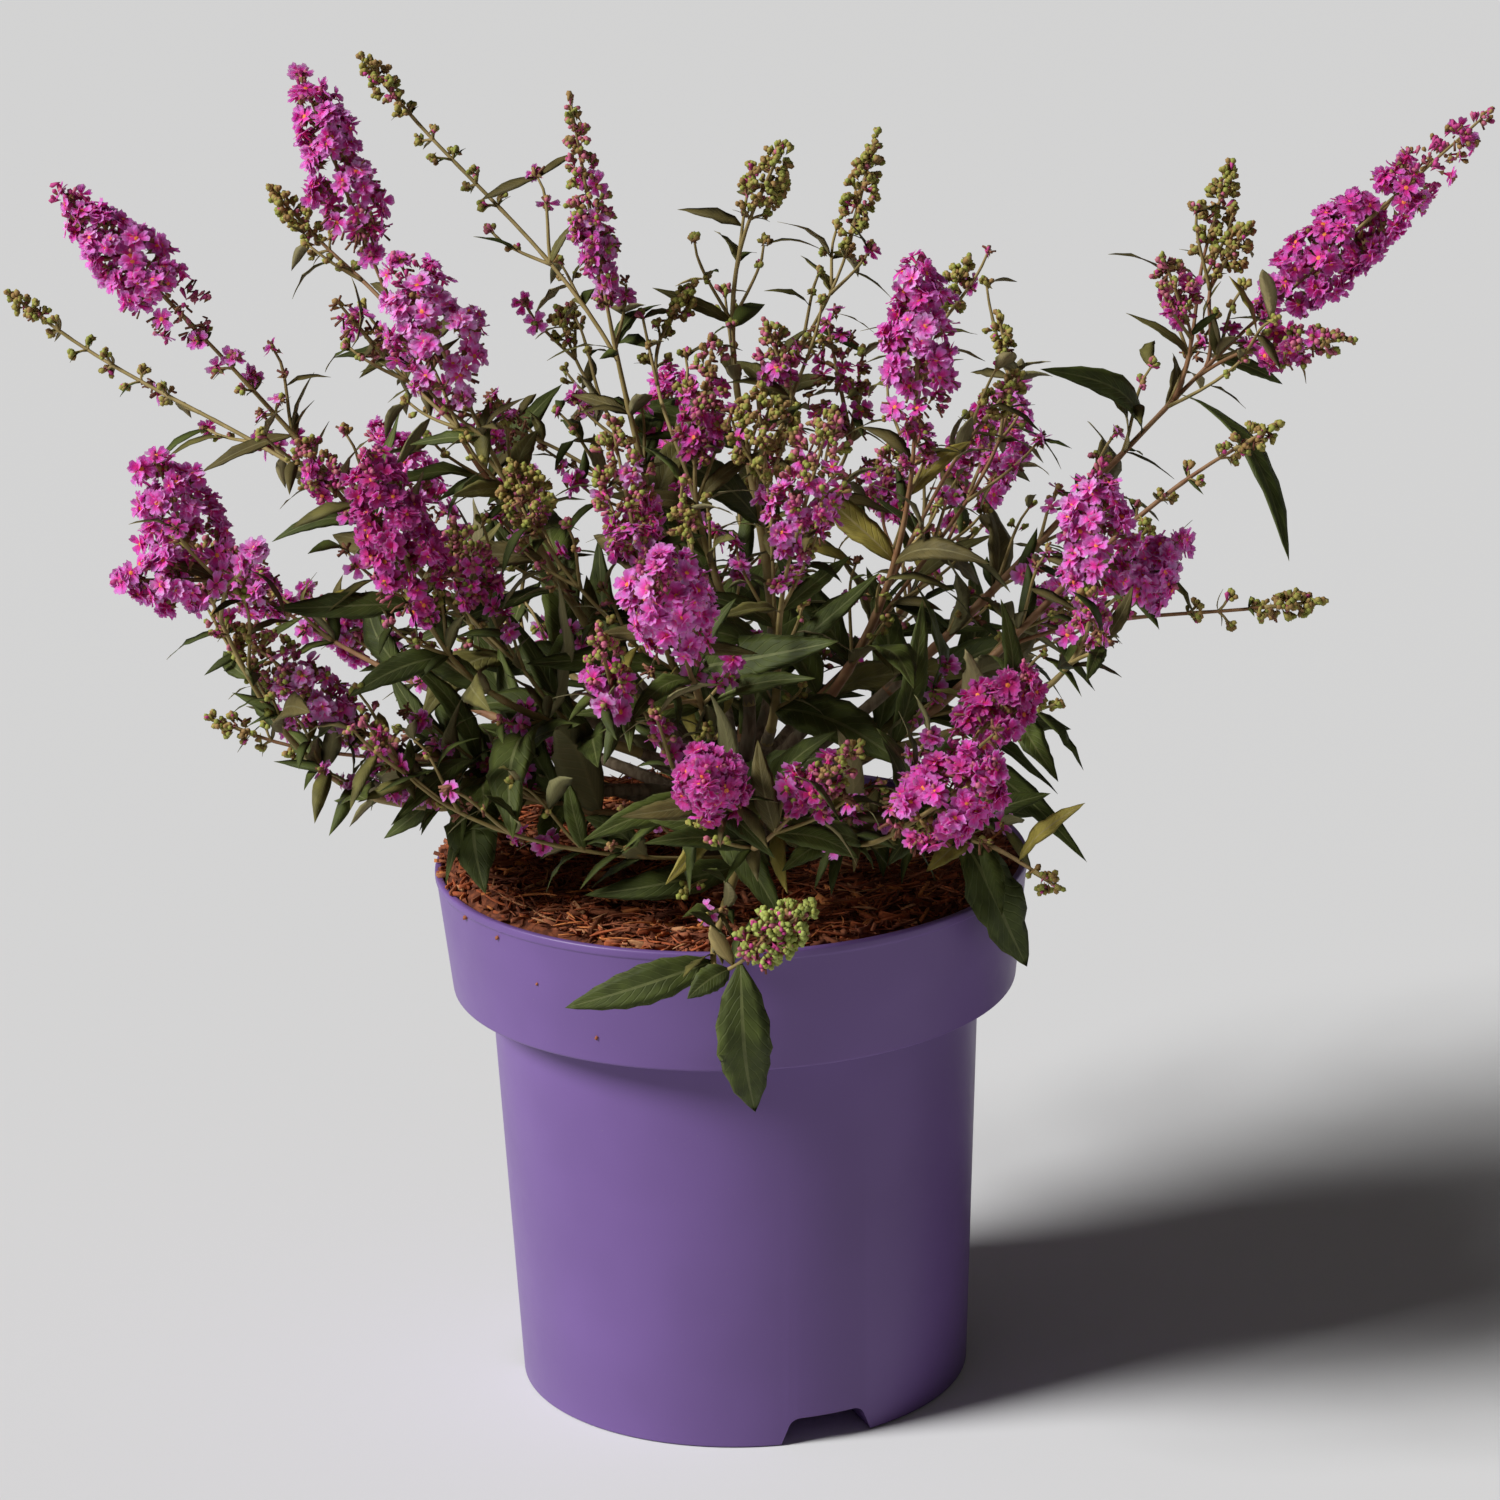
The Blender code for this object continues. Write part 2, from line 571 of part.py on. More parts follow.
def leaf_frame(leaf):
    """Unit vectors along, across and out of a leaf's upper face."""
    along = unit(leaf["tip"] - leaf["root"])
    side = np.cross(along, (0, 0, 1))
    side = unit(side) if np.linalg.norm(side) > 0.15 else across(along)
    side = turned(side, along, leaf["roll"])
    return along, side, np.cross(side, along)


def leaf_solid(leaf):
    """A folded, arched leaf of eight faces, with a deep root."""
    along, side, up = leaf_frame(leaf)
    root = leaf["root"]
    length = np.linalg.norm(leaf["tip"] - root)
    thick = max(LEAF_THICKNESS, length / 70)
    middle = root + along * length * LEAF_WIDEST + up * length * LEAF_ARCH
    half = leaf["width"] / 2
    verts = [root + up * thick * 0.6, root - up * thick * 0.6, middle + side * half,
             middle - side * half, middle + up * thick, leaf["tip"]]
    faces = [(0, 4, 2), (0, 3, 4), (2, 4, 5), (4, 3, 5), (1, 2, 3), (2, 5, 3), (0, 2, 1), (0, 1, 3)]
    return verts, faces


def fat_leaf(leaf):
    """A leaf's outline made thicker by the clearance, without its root end, for tests."""
    along, side, up = leaf_frame(leaf)
    length = np.linalg.norm(leaf["tip"] - leaf["root"])
    thick = max(LEAF_THICKNESS, length / 70)
    c = LEAF_CLEARANCE
    half = leaf["width"] / 2 + c
    rise = length * LEAF_ARCH
    first = min(0.14, LEAF_TESTED_FROM / length)
    stations = ((first, first / LEAF_WIDEST), (LEAF_WIDEST, 1.0), (0.75, 0.45))
    verts = []
    for share, wide in stations:
        height = rise * (share / LEAF_WIDEST if share <= LEAF_WIDEST
                         else (1 - share) / (1 - LEAF_WIDEST))
        for way in (1, -1):
            for level in (height + thick + c, height - c):
                verts.append(leaf["root"] + along * length * share + side * half * wide * way
                             + up * level)
    verts.append(leaf["tip"] + along * c)
    faces = [(0, 1, 3, 2)]
    for i in (0, 4):
        faces += [(i, i + 2, i + 6, i + 4), (i + 1, i + 5, i + 7, i + 3),
                  (i, i + 4, i + 5, i + 1), (i + 2, i + 3, i + 7, i + 6)]
    faces += [(8, 10, 12), (9, 12, 11), (8, 12, 9), (10, 11, 12)]
    return verts, faces


def fat_tube(points, radii):
    """A stem made thicker by the clearance, for tests."""
    return rings_solid(points, np.asarray(radii) + LEAF_CLEARANCE, 4)


class Space:
    """The solids placed so far, each with the shoot that it belongs to."""

    def __init__(self):
        self.trees = []
        self.lows = []
        self.highs = []
        self.owners = []

    def add(self, verts, faces, owner):
        points = np.array(verts)
        self.trees.append(BVHTree.FromPolygons([tuple(p) for p in points], faces))
        self.lows.append(points.min(axis=0))
        self.highs.append(points.max(axis=0))
        self.owners.append(owner)

    def is_free(self, verts, faces, owner=None):
        """True if a solid touches no other, the ones of its own owner left aside."""
        points = np.array(verts)
        low = points.min(axis=0)
        high = points.max(axis=0)
        near = np.nonzero(np.all((np.array(self.lows) <= high)
                                 & (np.array(self.highs) >= low), axis=1))[0]
        tree = BVHTree.FromPolygons([tuple(p) for p in points], faces)
        return not any(self.trees[i].overlap(tree) for i in near
                       if owner is None or self.owners[i] != owner)


# Objects

def new_mesh(name, verts, faces):
    """A mesh from points and faces, its faces turned outwards."""
    mesh = bpy.data.meshes.new(name)
    mesh.from_pydata([tuple(v) for v in verts], [], faces)
    bm = bmesh.new()
    bm.from_mesh(mesh)
    bmesh.ops.recalc_face_normals(bm, faces=bm.faces)
    bm.to_mesh(mesh)
    bm.free()
    return mesh


def new_object(name, mesh, collection=None):
    """An object of a mesh, linked to a collection or to the scene."""
    thing = bpy.data.objects.new(name, mesh)
    (collection or bpy.context.scene.collection).objects.link(thing)
    return thing


def finish(thing, kind, smooth_angle=None):
    """Gives an object its material and, if it is round, its smooth shading."""
    colour, roughness, metallic = FINISHES[kind]
    material = bpy.data.materials.new(thing.name)
    material.use_nodes = True
    shader = material.node_tree.nodes["Principled BSDF"]
    shader.inputs["Base Color"].default_value = colour
    shader.inputs["Roughness"].default_value = roughness
    shader.inputs["Metallic"].default_value = metallic
    thing.data.materials.clear()
    thing.data.materials.append(material)
    if smooth_angle is not None:
        thing.data.shade_smooth()
        thing.data.set_sharp_from_angle(angle=math.radians(smooth_angle))


def apply_modifiers(thing):
    """Replaces an object's mesh by what its modifiers make of it."""
    graph = bpy.context.evaluated_depsgraph_get()
    mesh = bpy.data.meshes.new_from_object(thing.evaluated_get(graph))
    thing.modifiers.clear()
    thing.data = mesh


def clean(mesh, merge):
    """Merges points that are this near to each other and drops loose scraps."""
    bm = bmesh.new()
    bm.from_mesh(mesh)
    bmesh.ops.triangulate(bm, faces=bm.faces)
    bmesh.ops.remove_doubles(bm, verts=bm.verts, dist=merge)
    bmesh.ops.dissolve_degenerate(bm, edges=bm.edges, dist=merge)
    islands = []
    seen = set()
    for face in bm.faces:
        if face in seen:
            continue
        island = []
        stack = [face]
        seen.add(face)
        while stack:
            current = stack.pop()
            island.append(current)
            for edge in current.edges:
                for linked in edge.link_faces:
                    if linked not in seen:
                        seen.add(linked)
                        stack.append(linked)
        islands.append(island)
    islands.sort(key=len)
    scraps = [face for island in islands[:-1] for face in island]
    bmesh.ops.delete(bm, geom=scraps, context="FACES")
    bmesh.ops.recalc_face_normals(bm, faces=bm.faces)
    bm.to_mesh(mesh)
    bm.free()


def lathe(profile, sectors, name):
    """A solid of revolution about Z from a closed profile of (radius, height) points."""
    bm = bmesh.new()
    ring = [bm.verts.new((r, 0, z)) for r, z in profile]
    edges = [bm.edges.new((ring[i], ring[(i + 1) % len(ring)])) for i in range(len(ring))]
    if profile[0][0] == 0:
        bm.edges.remove(edges.pop())
    bmesh.ops.spin(bm, geom=ring + edges, cent=(0, 0, 0), axis=(0, 0, 1), angle=math.tau,
                   steps=sectors, use_merge=True)
    bmesh.ops.remove_doubles(bm, verts=bm.verts, dist=1e-6)
    bmesh.ops.recalc_face_normals(bm, faces=bm.faces)
    mesh = bpy.data.meshes.new(name)
    bm.to_mesh(mesh)
    bm.free()
    return new_object(name, mesh)


def cutter(name, verts, faces, target):
    """A hidden solid that is cut out of another object."""
    tool = new_object(name, new_mesh(name, verts, faces))
    tool.hide_render = True
    tool.display_type = "WIRE"
    cut = target.modifiers.new(name, "BOOLEAN")
    cut.operation = "DIFFERENCE"
    cut.solver = "EXACT"
    cut.object = tool
    return tool


def make_pot():
    """The pot, with its beaded rim, its drainage channels and their holes."""
    band_foot = POT_HEIGHT - BAND_HEIGHT
    bead_foot = POT_HEIGHT - BEAD_HEIGHT
    inner_top = RIM_RADIUS - BEAD_DEPTH - WALL
    floor_radius = BASE_RADIUS + (BODY_TOP_RADIUS - BASE_RADIUS) * FLOOR_TOP / band_foot - WALL
    profile = [
        (0, 0), (BASE_RADIUS - POT_EDGE, 0), (BASE_RADIUS, POT_EDGE),
        (BODY_TOP_RADIUS, band_foot), (BAND_FOOT_RADIUS - POT_EDGE, band_foot),
        (BAND_FOOT_RADIUS, band_foot + POT_EDGE), (RIM_RADIUS - BEAD_DEPTH, bead_foot),
        (RIM_RADIUS, bead_foot + BEAD_DEPTH), (RIM_RADIUS, POT_HEIGHT - BEAD_DEPTH),
        (RIM_RADIUS - BEAD_DEPTH, POT_HEIGHT), (inner_top + BEAD_DEPTH, POT_HEIGHT),
        (inner_top, POT_HEIGHT - BEAD_DEPTH), (BAND_FOOT_RADIUS - WALL, band_foot + WALL),
        (BODY_TOP_RADIUS - WALL, band_foot + WALL), (floor_radius, FLOOR_TOP), (0, FLOOR_TOP)]
    pot = lathe(profile, POT_SECTORS, "pot")
    tools = []
    for i in range(CHANNEL_COUNT):
        turn = math.radians(CHANNEL_TURN + i * 360 / CHANNEL_COUNT)
        out = np.array([math.cos(turn), math.sin(turn), 0])
        side = np.array([-out[1], out[0], 0])
        verts = []
        for reach in (CHANNEL_INNER_END, CHANNEL_OUTER_END):
            for level, width in ((-CUT_OVERRUN, CHANNEL_FOOT_WIDTH),
                                 (CHANNEL_HEIGHT, CHANNEL_TOP_WIDTH)):
                for way in (1, -1):
                    verts.append(out * reach + side * way * width / 2 + np.array([0, 0, level]))
        faces = [(0, 1, 3, 2), (4, 6, 7, 5), (0, 4, 5, 1), (2, 3, 7, 6), (0, 2, 6, 4), (1, 5, 7, 3)]
        tools.append(cutter(f"channel_{i + 1}", verts, faces, pot))
        centre = out * DRAIN_HOLE_PLACE
        drill = np.array([centre + (0, 0, CHANNEL_HEIGHT - CUT_OVERRUN),
                          centre + (0, 0, FLOOR_TOP + CUT_OVERRUN)])
        hole = rings_solid(drill, [DRAIN_HOLE_RADIUS] * 2, DRAIN_HOLE_SIDES)
        tools.append(cutter(f"drain_{i + 1}", *hole, pot))
    apply_modifiers(pot)
    for tool in tools:
        bpy.data.objects.remove(tool)
    finish(pot, "pot", 40)
    return pot


def make_soil(rng):
    """The mulch: one body that fills the pot and is heaped a little above its edge."""
    band_foot = POT_HEIGHT - BAND_HEIGHT
    ledge = band_foot + WALL + GAP
    slope = (RIM_RADIUS - BAND_FOOT_RADIUS) / BAND_HEIGHT
    edge = BAND_FOOT_RADIUS - WALL + slope * (SOIL_EDGE_HEIGHT - ledge) - SOIL_EDGE_GAP
    inset = WALL + SOIL_WALL_GAP
    profile = [(BASE_RADIUS - inset, FLOOR_TOP + GAP), (BODY_TOP_RADIUS - inset, ledge),
               (BAND_FOOT_RADIUS - inset, ledge), (edge, SOIL_EDGE_HEIGHT)]
    outer = SOIL_RINGS[0][0]
    verts = []
    for radius, height in profile:
        for k in range(SOIL_SECTORS):
            a = math.tau * k / SOIL_SECTORS
            verts.append((radius * math.cos(a), radius * math.sin(a), height))
    for radius, heap in SOIL_RINGS:
        for k in range(SOIL_SECTORS):
            a = math.tau * k / SOIL_SECTORS
            tilt = HEAP_HEIGHT * (radius / outer) * math.cos(a - math.radians(HEAP_TURN))
            fall = max(0.0, (radius - SOIL_SLOPE_START) / (outer - SOIL_SLOPE_START))
            height = SOIL_CENTRE_HEIGHT + heap + tilt + rng.uniform(-1, 1) * SOIL_ROUGHNESS
            height -= SOIL_SLOPE_DROP * fall
            verts.append((radius * math.cos(a), radius * math.sin(a), height))
    for k in range(SOIL_SECTORS):
        a = math.tau * k / SOIL_SECTORS
        verts.append((SOIL_FLAT_RADIUS * math.cos(a), SOIL_FLAT_RADIUS * math.sin(a),
                      SOIL_CENTRE_HEIGHT))
    faces = []
    rows = len(profile) + len(SOIL_RINGS) + 1
    for i in range(rows - 1):
        for k in range(SOIL_SECTORS):
            n = (k + 1) % SOIL_SECTORS
            faces.append((i * SOIL_SECTORS + k, i * SOIL_SECTORS + n,
                          (i + 1) * SOIL_SECTORS + n, (i + 1) * SOIL_SECTORS + k))
    faces.append(tuple(reversed(range(SOIL_SECTORS))))
    faces.append(tuple((rows - 1) * SOIL_SECTORS + k for k in range(SOIL_SECTORS)))
    soil = new_object("soil", new_mesh("soil", verts, faces))
    finish(soil, "soil")
    return soil


def make_trunk():
    """The woody stool: a flared foot on the soil, a neck and a domed top."""
    profile = [(0, 0), (TRUNK_FOOT_RADIUS, 0), (TRUNK_FOOT_RADIUS * 0.9, TRUNK_FLARE_HEIGHT),
               (TRUNK_NECK_RADIUS * 1.03, TRUNK_NECK_HEIGHT * 0.72)]
    for k in range(TRUNK_DOME_RINGS):
        a = k * math.pi / 2 / TRUNK_DOME_RINGS
        profile.append((TRUNK_NECK_RADIUS * math.cos(a),
                        TRUNK_NECK_HEIGHT + TRUNK_DOME_HEIGHT * math.sin(a)))
    profile.append((0, TRUNK_NECK_HEIGHT + TRUNK_DOME_HEIGHT))
    trunk = lathe(profile, TRUNK_SECTORS, "trunk")
    for vert in trunk.data.vertices:
        vert.co.x += TRUNK_LEAN * vert.co.z
        vert.co.z += SOIL_CENTRE_HEIGHT + GAP
    finish(trunk, "trunk", 50)
    return trunk


def split_stem(shoot):
    """A shoot's main line in two: the bough and the stem of the mass, a gap apart."""
    line = shoot["main"]
    s = lengths_along(line)
    cut = BOUGH_SHARE * s[-1]
    radius = float(np.interp(cut, s, shoot["radii"]))
    end, tangent = at_length(line, cut)
    before = s < cut - BOUGH_ROOT_RADIUS
    after = s > cut + BOUGH_ROOT_RADIUS
    bough = np.vstack([line[before], end[None]])
    bough_radii = np.concatenate([shoot["radii"][before], [radius]])
    stem = np.vstack([(end + tangent * GAP)[None], line[after]])
    stem_radii = np.concatenate([[radius], shoot["radii"][after]])
    return bough, bough_radii, stem, stem_radii


def mass_pieces(shoot, stem, stem_radii, rng):
    """The first solids of one mass: its stem, side twigs and flower spikes."""
    pieces = [rings_solid(*thinned(sunk(stem, shoot["spikes"][0]), stem_radii, 3), 3)]
    for side, spike in zip(shoot["sides"], shoot["spikes"][1:]):
        pieces.append(rings_solid(*thinned(sunk(side, spike), side_radii(side), 4), 3))
    for spike in shoot["spikes"]:
        if spike["kind"] != "leafy":
            pieces.append(spike_solid(spike, rng))
    return pieces


def place_clusters(shoot, line, spike, space, rng):
    """Adds the clusters on the stretch of a stem below its spike, each turned from the last."""
    total = lengths_along(line)[-1]
    where = CLUSTER_FIRST
    spin = rng.uniform(0, math.pi)
    while where < min(spike["loose"], total - CLUSTER_FREE_FOOT):
        place, tangent = at_length(line, total - where)
        out = turned(across(tangent), tangent, spin)
        size = CLUSTER_SIZE * rng.uniform(1.0, 1.2) + 0.1 * spike["radius"]
        tested = cluster_solid(place, tangent, out, size * CLUSTER_TESTED)
        if space.is_free(*tested, shoot["name"]):
            space.add(*tested, shoot["name"])
            shoot["pieces"].append(cluster_solid(place, tangent, out, size))
        spin += math.pi / 2
        where += CLUSTER_STEP


def sunk(line, spike):
    """A line carried on a little into the spike at its end."""
    longer = line.copy()
    longer[-1] = line[-1] + spike["along"] * min(STEM_SUNK, spike["length"] * 0.35)
    return longer


def place_leaf(leaf, shoot, space):
    """Adds a leaf to its mass at the first of its places that is free, if there is one."""
    for count in range(1 if leaf["lone"] else LEAF_TRIES):
        trial = tried_again(leaf, count)
        if not (leaf["lone"] or in_crown(trial["tip"])):
            continue
        fat = fat_leaf(trial)
        if space.is_free(*fat):
            space.add(*fat, shoot["name"])
            shoot["pieces"].append(leaf_solid(trial))
            return


def is_closed(mesh):
    """True if every edge of a mesh joins two faces."""
    bm = bmesh.new()
    bm.from_mesh(mesh)
    closed = all(len(edge.link_faces) == 2 for edge in bm.edges)
    bm.free()
    return closed


def join_mass(name, pieces):
    """The pieces of a mass as one closed body, with the last leaves left off if need be."""
    for dropped in range(6):
        for solver in ("EXACT", "MANIFOLD"):
            body = union(name, pieces[:len(pieces) - dropped], solver)
            joined = body.data
            for merge in (5e-6, 2e-6, 1e-6, 5e-7):
                body.data = joined.copy()
                clean(body.data, merge)
                if is_closed(body.data):
                    return body
            bpy.data.objects.remove(body)
    raise RuntimeError(name + " does not close")


def union(name, pieces, solver):
    """One Boolean union of the pieces of a mass."""
    body = new_object(name, new_mesh(name, *pieces[0]))
    group = bpy.data.collections.new(name + "_pieces")
    bpy.context.scene.collection.children.link(group)
    for i, (verts, faces) in enumerate(pieces[1:]):
        new_object(f"{name}_{i}", new_mesh(f"{name}_{i}", verts, faces), group)
    join = body.modifiers.new("join", "BOOLEAN")
    join.operation = "UNION"
    join.operand_type = "COLLECTION"
    join.solver = solver
    join.collection = group
    apply_modifiers(body)
    for thing in list(group.objects):
        bpy.data.objects.remove(thing)
    bpy.data.collections.remove(group)
    return body


def main():
    for thing in list(bpy.data.objects):
        bpy.data.objects.remove(thing)
    rng = random.Random(SEED)
    pot = make_pot()
    soil = make_soil(rng)
    trunk = make_trunk()
    space = Space()
    for thing in (pot, soil, trunk):
        verts = [tuple(v.co) for v in thing.data.vertices]
        faces = [tuple(p.vertices) for p in thing.data.polygons]
        space.add(verts, faces, thing.name)
    shoots = grow_skeleton()
    for shoot in shoots:
        bough, bough_radii, stem, stem_radii = split_stem(shoot)
        solid = rings_solid(*thinned(bough, bough_radii, 2), 6)
        thing = new_object("bough_" + shoot["name"], new_mesh("bough_" + shoot["name"], *solid))
        finish(thing, "bough", 50)
        space.add(*fat_tube(bough, bough_radii), shoot["name"])
        shoot["pieces"] = mass_pieces(shoot, stem, stem_radii, rng)
        shoot["leaves"] = grow_leaves(shoot, rng)
        for piece in shoot["pieces"]:
            space.add(*piece, shoot["name"])
    for shoot in shoots:
        for line, spike in zip([shoot["main"]] + shoot["sides"], shoot["spikes"]):
            place_clusters(shoot, line, spike, space, rng)
    for lone in (True, False):
        for shoot in shoots:
            for leaf in shoot["leaves"]:
                if leaf["lone"] == lone:
                    place_leaf(leaf, shoot, space)
    for shoot in shoots:
        mass = join_mass("foliage_" + shoot["name"], shoot["pieces"])
        in_flower = shoot["spikes"][0]["kind"] in ("bloom", "half")
        finish(mass, "flowering" if in_flower else "foliage")


main()
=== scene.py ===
import math
import random

import bmesh
import bpy
import numpy as np
from mathutils import Matrix, Vector, noise


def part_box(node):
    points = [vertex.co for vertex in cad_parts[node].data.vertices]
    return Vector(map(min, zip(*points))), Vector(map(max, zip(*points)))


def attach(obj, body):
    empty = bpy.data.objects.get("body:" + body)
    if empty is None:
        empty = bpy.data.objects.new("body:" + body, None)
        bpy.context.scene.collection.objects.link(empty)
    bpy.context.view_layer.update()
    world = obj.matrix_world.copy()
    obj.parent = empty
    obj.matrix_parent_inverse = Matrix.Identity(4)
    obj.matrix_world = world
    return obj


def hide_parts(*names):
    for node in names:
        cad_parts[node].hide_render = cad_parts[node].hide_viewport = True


# A young butterfly bush in bloom, in its round nursery pot.
# Lengths are in metres, angles in degrees. The pot stands on z = 0 with its axis on Z.
# +X is to the right and +Y to the back, as seen from the front of the plant.
# A direction is given by its lean from upright and its turn, from +X towards +Y.
# The shoots, their twigs and their leaves grow by the same rule and from the same sizes as
# the solids, and are carried on here to small leaves, single flowers and buds.

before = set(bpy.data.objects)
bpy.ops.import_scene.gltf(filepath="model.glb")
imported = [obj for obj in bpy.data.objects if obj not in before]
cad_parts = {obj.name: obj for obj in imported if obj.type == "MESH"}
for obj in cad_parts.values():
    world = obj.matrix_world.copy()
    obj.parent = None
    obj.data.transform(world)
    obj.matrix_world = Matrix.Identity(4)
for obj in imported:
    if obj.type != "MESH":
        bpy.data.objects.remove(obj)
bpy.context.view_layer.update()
POT_LOW, POT_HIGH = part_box("pot")
MASSES = sorted(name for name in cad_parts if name.startswith("foliage_"))

SEED = 41                 # start of every random choice
PIECE_LIMIT = 190000      # triangles of one joined piece

# Camera: the photo's place, turn and lens
CAMERA_TARGET = (0.0, 0.0, 0.2)   # the camera's height and distance are measured from here
CAMERA_DISTANCE = 2.0
CAMERA_ELEVATION = 18.3225
CAMERA_YAW = 0.24537
CAMERA_PITCH = 17.0322
CAMERA_ROLL = -1.54154
CAMERA_FOCAL = 5265.53    # in pixels of the 1500-pixel frame
IMAGE_SIZE = 1500
SENSOR = 36.0             # millimetres

# Light
KEY_TURN = 199.0          # where the key light stands
KEY_LEAN = 52.0
KEY_STRENGTH = 4.4
KEY_SOFTNESS = 20.0
SKY = (1.0, 0.97, 0.94)
SKY_STRENGTH = 0.06
FLOOR_SIZE = 60.0
FLOOR_DROP = 0.0003

# Pot: a tapered body under a wide band that ends in a beaded rim
POT_HEIGHT = POT_HIGH.z
RIM_RADIUS = (POT_HIGH.x - POT_LOW.x) / 2
BEAD_HEIGHT = 0.0036
BEAD_DEPTH = 0.0006
BAND_HEIGHT = 0.0475
BAND_FOOT_RADIUS = 0.1072
BODY_TOP_RADIUS = 0.0930
BASE_RADIUS = 0.0862
WALL = 0.0020
POT_FLOOR = 0.0120
CHANNEL_COUNT = 3
CHANNEL_TURN = -69.5
CHANNEL_HEIGHT = 0.0104
CHANNEL_FOOT_WIDTH = 0.0380
CHANNEL_TOP_WIDTH = 0.0280
CHANNEL_INNER_END = 0.0450
CHANNEL_OUTER_END = 0.0960
DRAIN_HOLE_RADIUS = 0.0045
DRAIN_HOLE_PLACE = 0.0620
CHANNEL_ROUNDING = 0.003
CUT_OVERRUN = 0.0020
CUT_DRILL_DEPTH = 0.008
POT_SECTORS = 144
POT_SHARP_ANGLE = 35.0    # edges of the pot that are steeper than this stay sharp

# Mulch: a closed bed that fills the pot, under loose chips and shreds
MULCH_CENTRE_HEIGHT = 0.2050
MULCH_RADIUS = 0.1092
# Radii, and the heap that the mulch has at each
MULCH_RINGS = ((0.0, 0.0), (0.0265, 0.0), (0.050, 0.0025), (0.078, 0.0055), (0.100, 0.0030))
MULCH_SLOPE_START = 0.060
MULCH_SLOPE_DROP = 0.0055
HEAP_TURN = 155.0
HEAP_HEIGHT = 0.0045
HEAP_SHARE = 0.85         # part of the solid's heaps that lies under the chips
# The heap at one side of the wall: its height and turn, and its shares by radius
EDGE_HEAP = (0.0130, 178.0)
EDGE_HEAP_RINGS = ((0.076, 0.0), (0.088, 0.55), (0.097, 1.0), (0.103, 0.9), (0.108, 0.25),
                   (0.110, 0.05))
MULCH_WALL_GAP = 0.0003
BED_SIDES = 200
BED_RINGS = 90
BED_SUNK = 0.0012         # depth of the bed's top under the surface that the chips give
BED_EDGE_SUNK = 0.0010
BED_SMOOTH_EDGE = 0.003   # width at the wall over which the roughness fades
BED_LUMPS = ((260, 0.0014, 0), (900, 0.0008, 5))     # lumps to a metre, height, seed
CHIP_COUNT = 3400
CHIP_SIZES = (0.0012, 0.0018, 0.0026, 0.0036, 0.0055)    # half lengths
CHIP_BREADTHS = (0.12, 0.28)      # shares of the half length
CHIP_THICKNESSES = (0.06, 0.14)
CHIP_TILT = 24.0
CHIP_LIFTS = (-0.0006, 0.0018)
CHIP_EDGE_GAP = 0.0008
CHIP_PLACING = 0.42       # power of an even draw. Under 0.5 there are more chips at the wall
CHIP_KINDS = ("chip_dark", "chip_brown", "chip_red", "chip_orange", "chip_tan")
CHIP_MIX = (26, 34, 28, 8, 4)     # their odds
RIM_CHIPS = 170           # chips that lie on the rim at the heap
RIM_CHIP_SPREAD = 20.0
RIM_CHIP_PLACES = (0.101, 0.1105)
RIM_CHIP_SIZES = (0.0016, 0.0040)
RIM_CHIP_TILT = 14.0
RIM_CHIP_LIFT = 0.0004
RIM_CHIP_HEAP = 0.0016
# Chips that stand out: place, half length, turn and kind
CHOSEN_CHIPS = (
    (-0.0800, -0.0580, 0.2040, 0.0060, 35, 3), (-0.0770, -0.0640, 0.2035, 0.0045, 120, 3),
    (-0.0998, -0.0300, 0.2040, 0.0050, 80, 2), (-0.0353, -0.0960, 0.2030, 0.0060, 160, 4),
    (0.0500, -0.0800, 0.2030, 0.0055, 40, 3), (0.0840, -0.0400, 0.2030, 0.0048, 110, 4))
CHOSEN_CHIP_LEAN = 84.0
# Crumbs on the pot's band: turn, distance below the rim and half size
BAND_CRUMBS = ((-140.8, 0.006, 0.0009), (-152.0, 0.004, 0.0011), (-107.4, 0.011, 0.0007),
               (-118.0, 0.037, 0.0008), (-131.0, 0.020, 0.0006), (-96.0, 0.005, 0.0007))
# A chip of half length 1 along Z, with its corners worn unevenly
CHIP_SHAPE = ((-1, -1, -1), (1, -0.8, -1), (1.1, 0.7, -0.9), (-0.8, 1, -1),
              (-0.9, -0.8, 1), (0.8, -1, 0.8), (0.9, 0.9, 1), (-1, 0.8, 0.9))
CHIP_CORNERS = ((0, 2, 1), (0, 3, 2), (4, 5, 6), (4, 6, 7), (0, 1, 5), (0, 5, 4),
                (1, 2, 6), (1, 6, 5), (2, 3, 7), (2, 7, 6), (3, 0, 4), (3, 4, 7))
SHRED_COUNT = 3200
SHRED_EDGE_GAPS = (0.003, 0.002)  # from the wall, of a shred's start and of its end
SHRED_LIFT = 0.002
SHRED_LEANS = (74, 94)
SHRED_LENGTHS = (0.006, 0.018)
SHRED_BEND = 0.35
SHRED_RADII = (0.00022, 0.0006)
SHRED_TAPER = np.array([0.5, 1, 1, 0.8, 0.3])

# Trunk: a short stool with a flared foot and a domed top
TRUNK_FOOT_RADIUS = 0.0235
TRUNK_NECK_RADIUS = 0.0180
TRUNK_NECK_HEIGHT = 0.0090
TRUNK_DOME_HEIGHT = 0.0300
TRUNK_LEAN = 0.08
TRUNK_SUNK = 0.004
TRUNK_RINGS = (16, 40)
TRUNK_SIDES = 64
TRUNK_RIDGES = (2.6, 55.0)        # how close the bark's ridges are, round it and up it

# Boughs and twigs
GAP = 0.0003
BOUGH_ROOT_RADIUS = 0.0027
STEM_TIP_RADIUS = 0.0010
SIDE_ROOT_RADIUS = 0.0013
BOUGH_SPACING = 0.0085
BOUGH_SHARE = 0.24        # part of a shoot's length that is bare bough
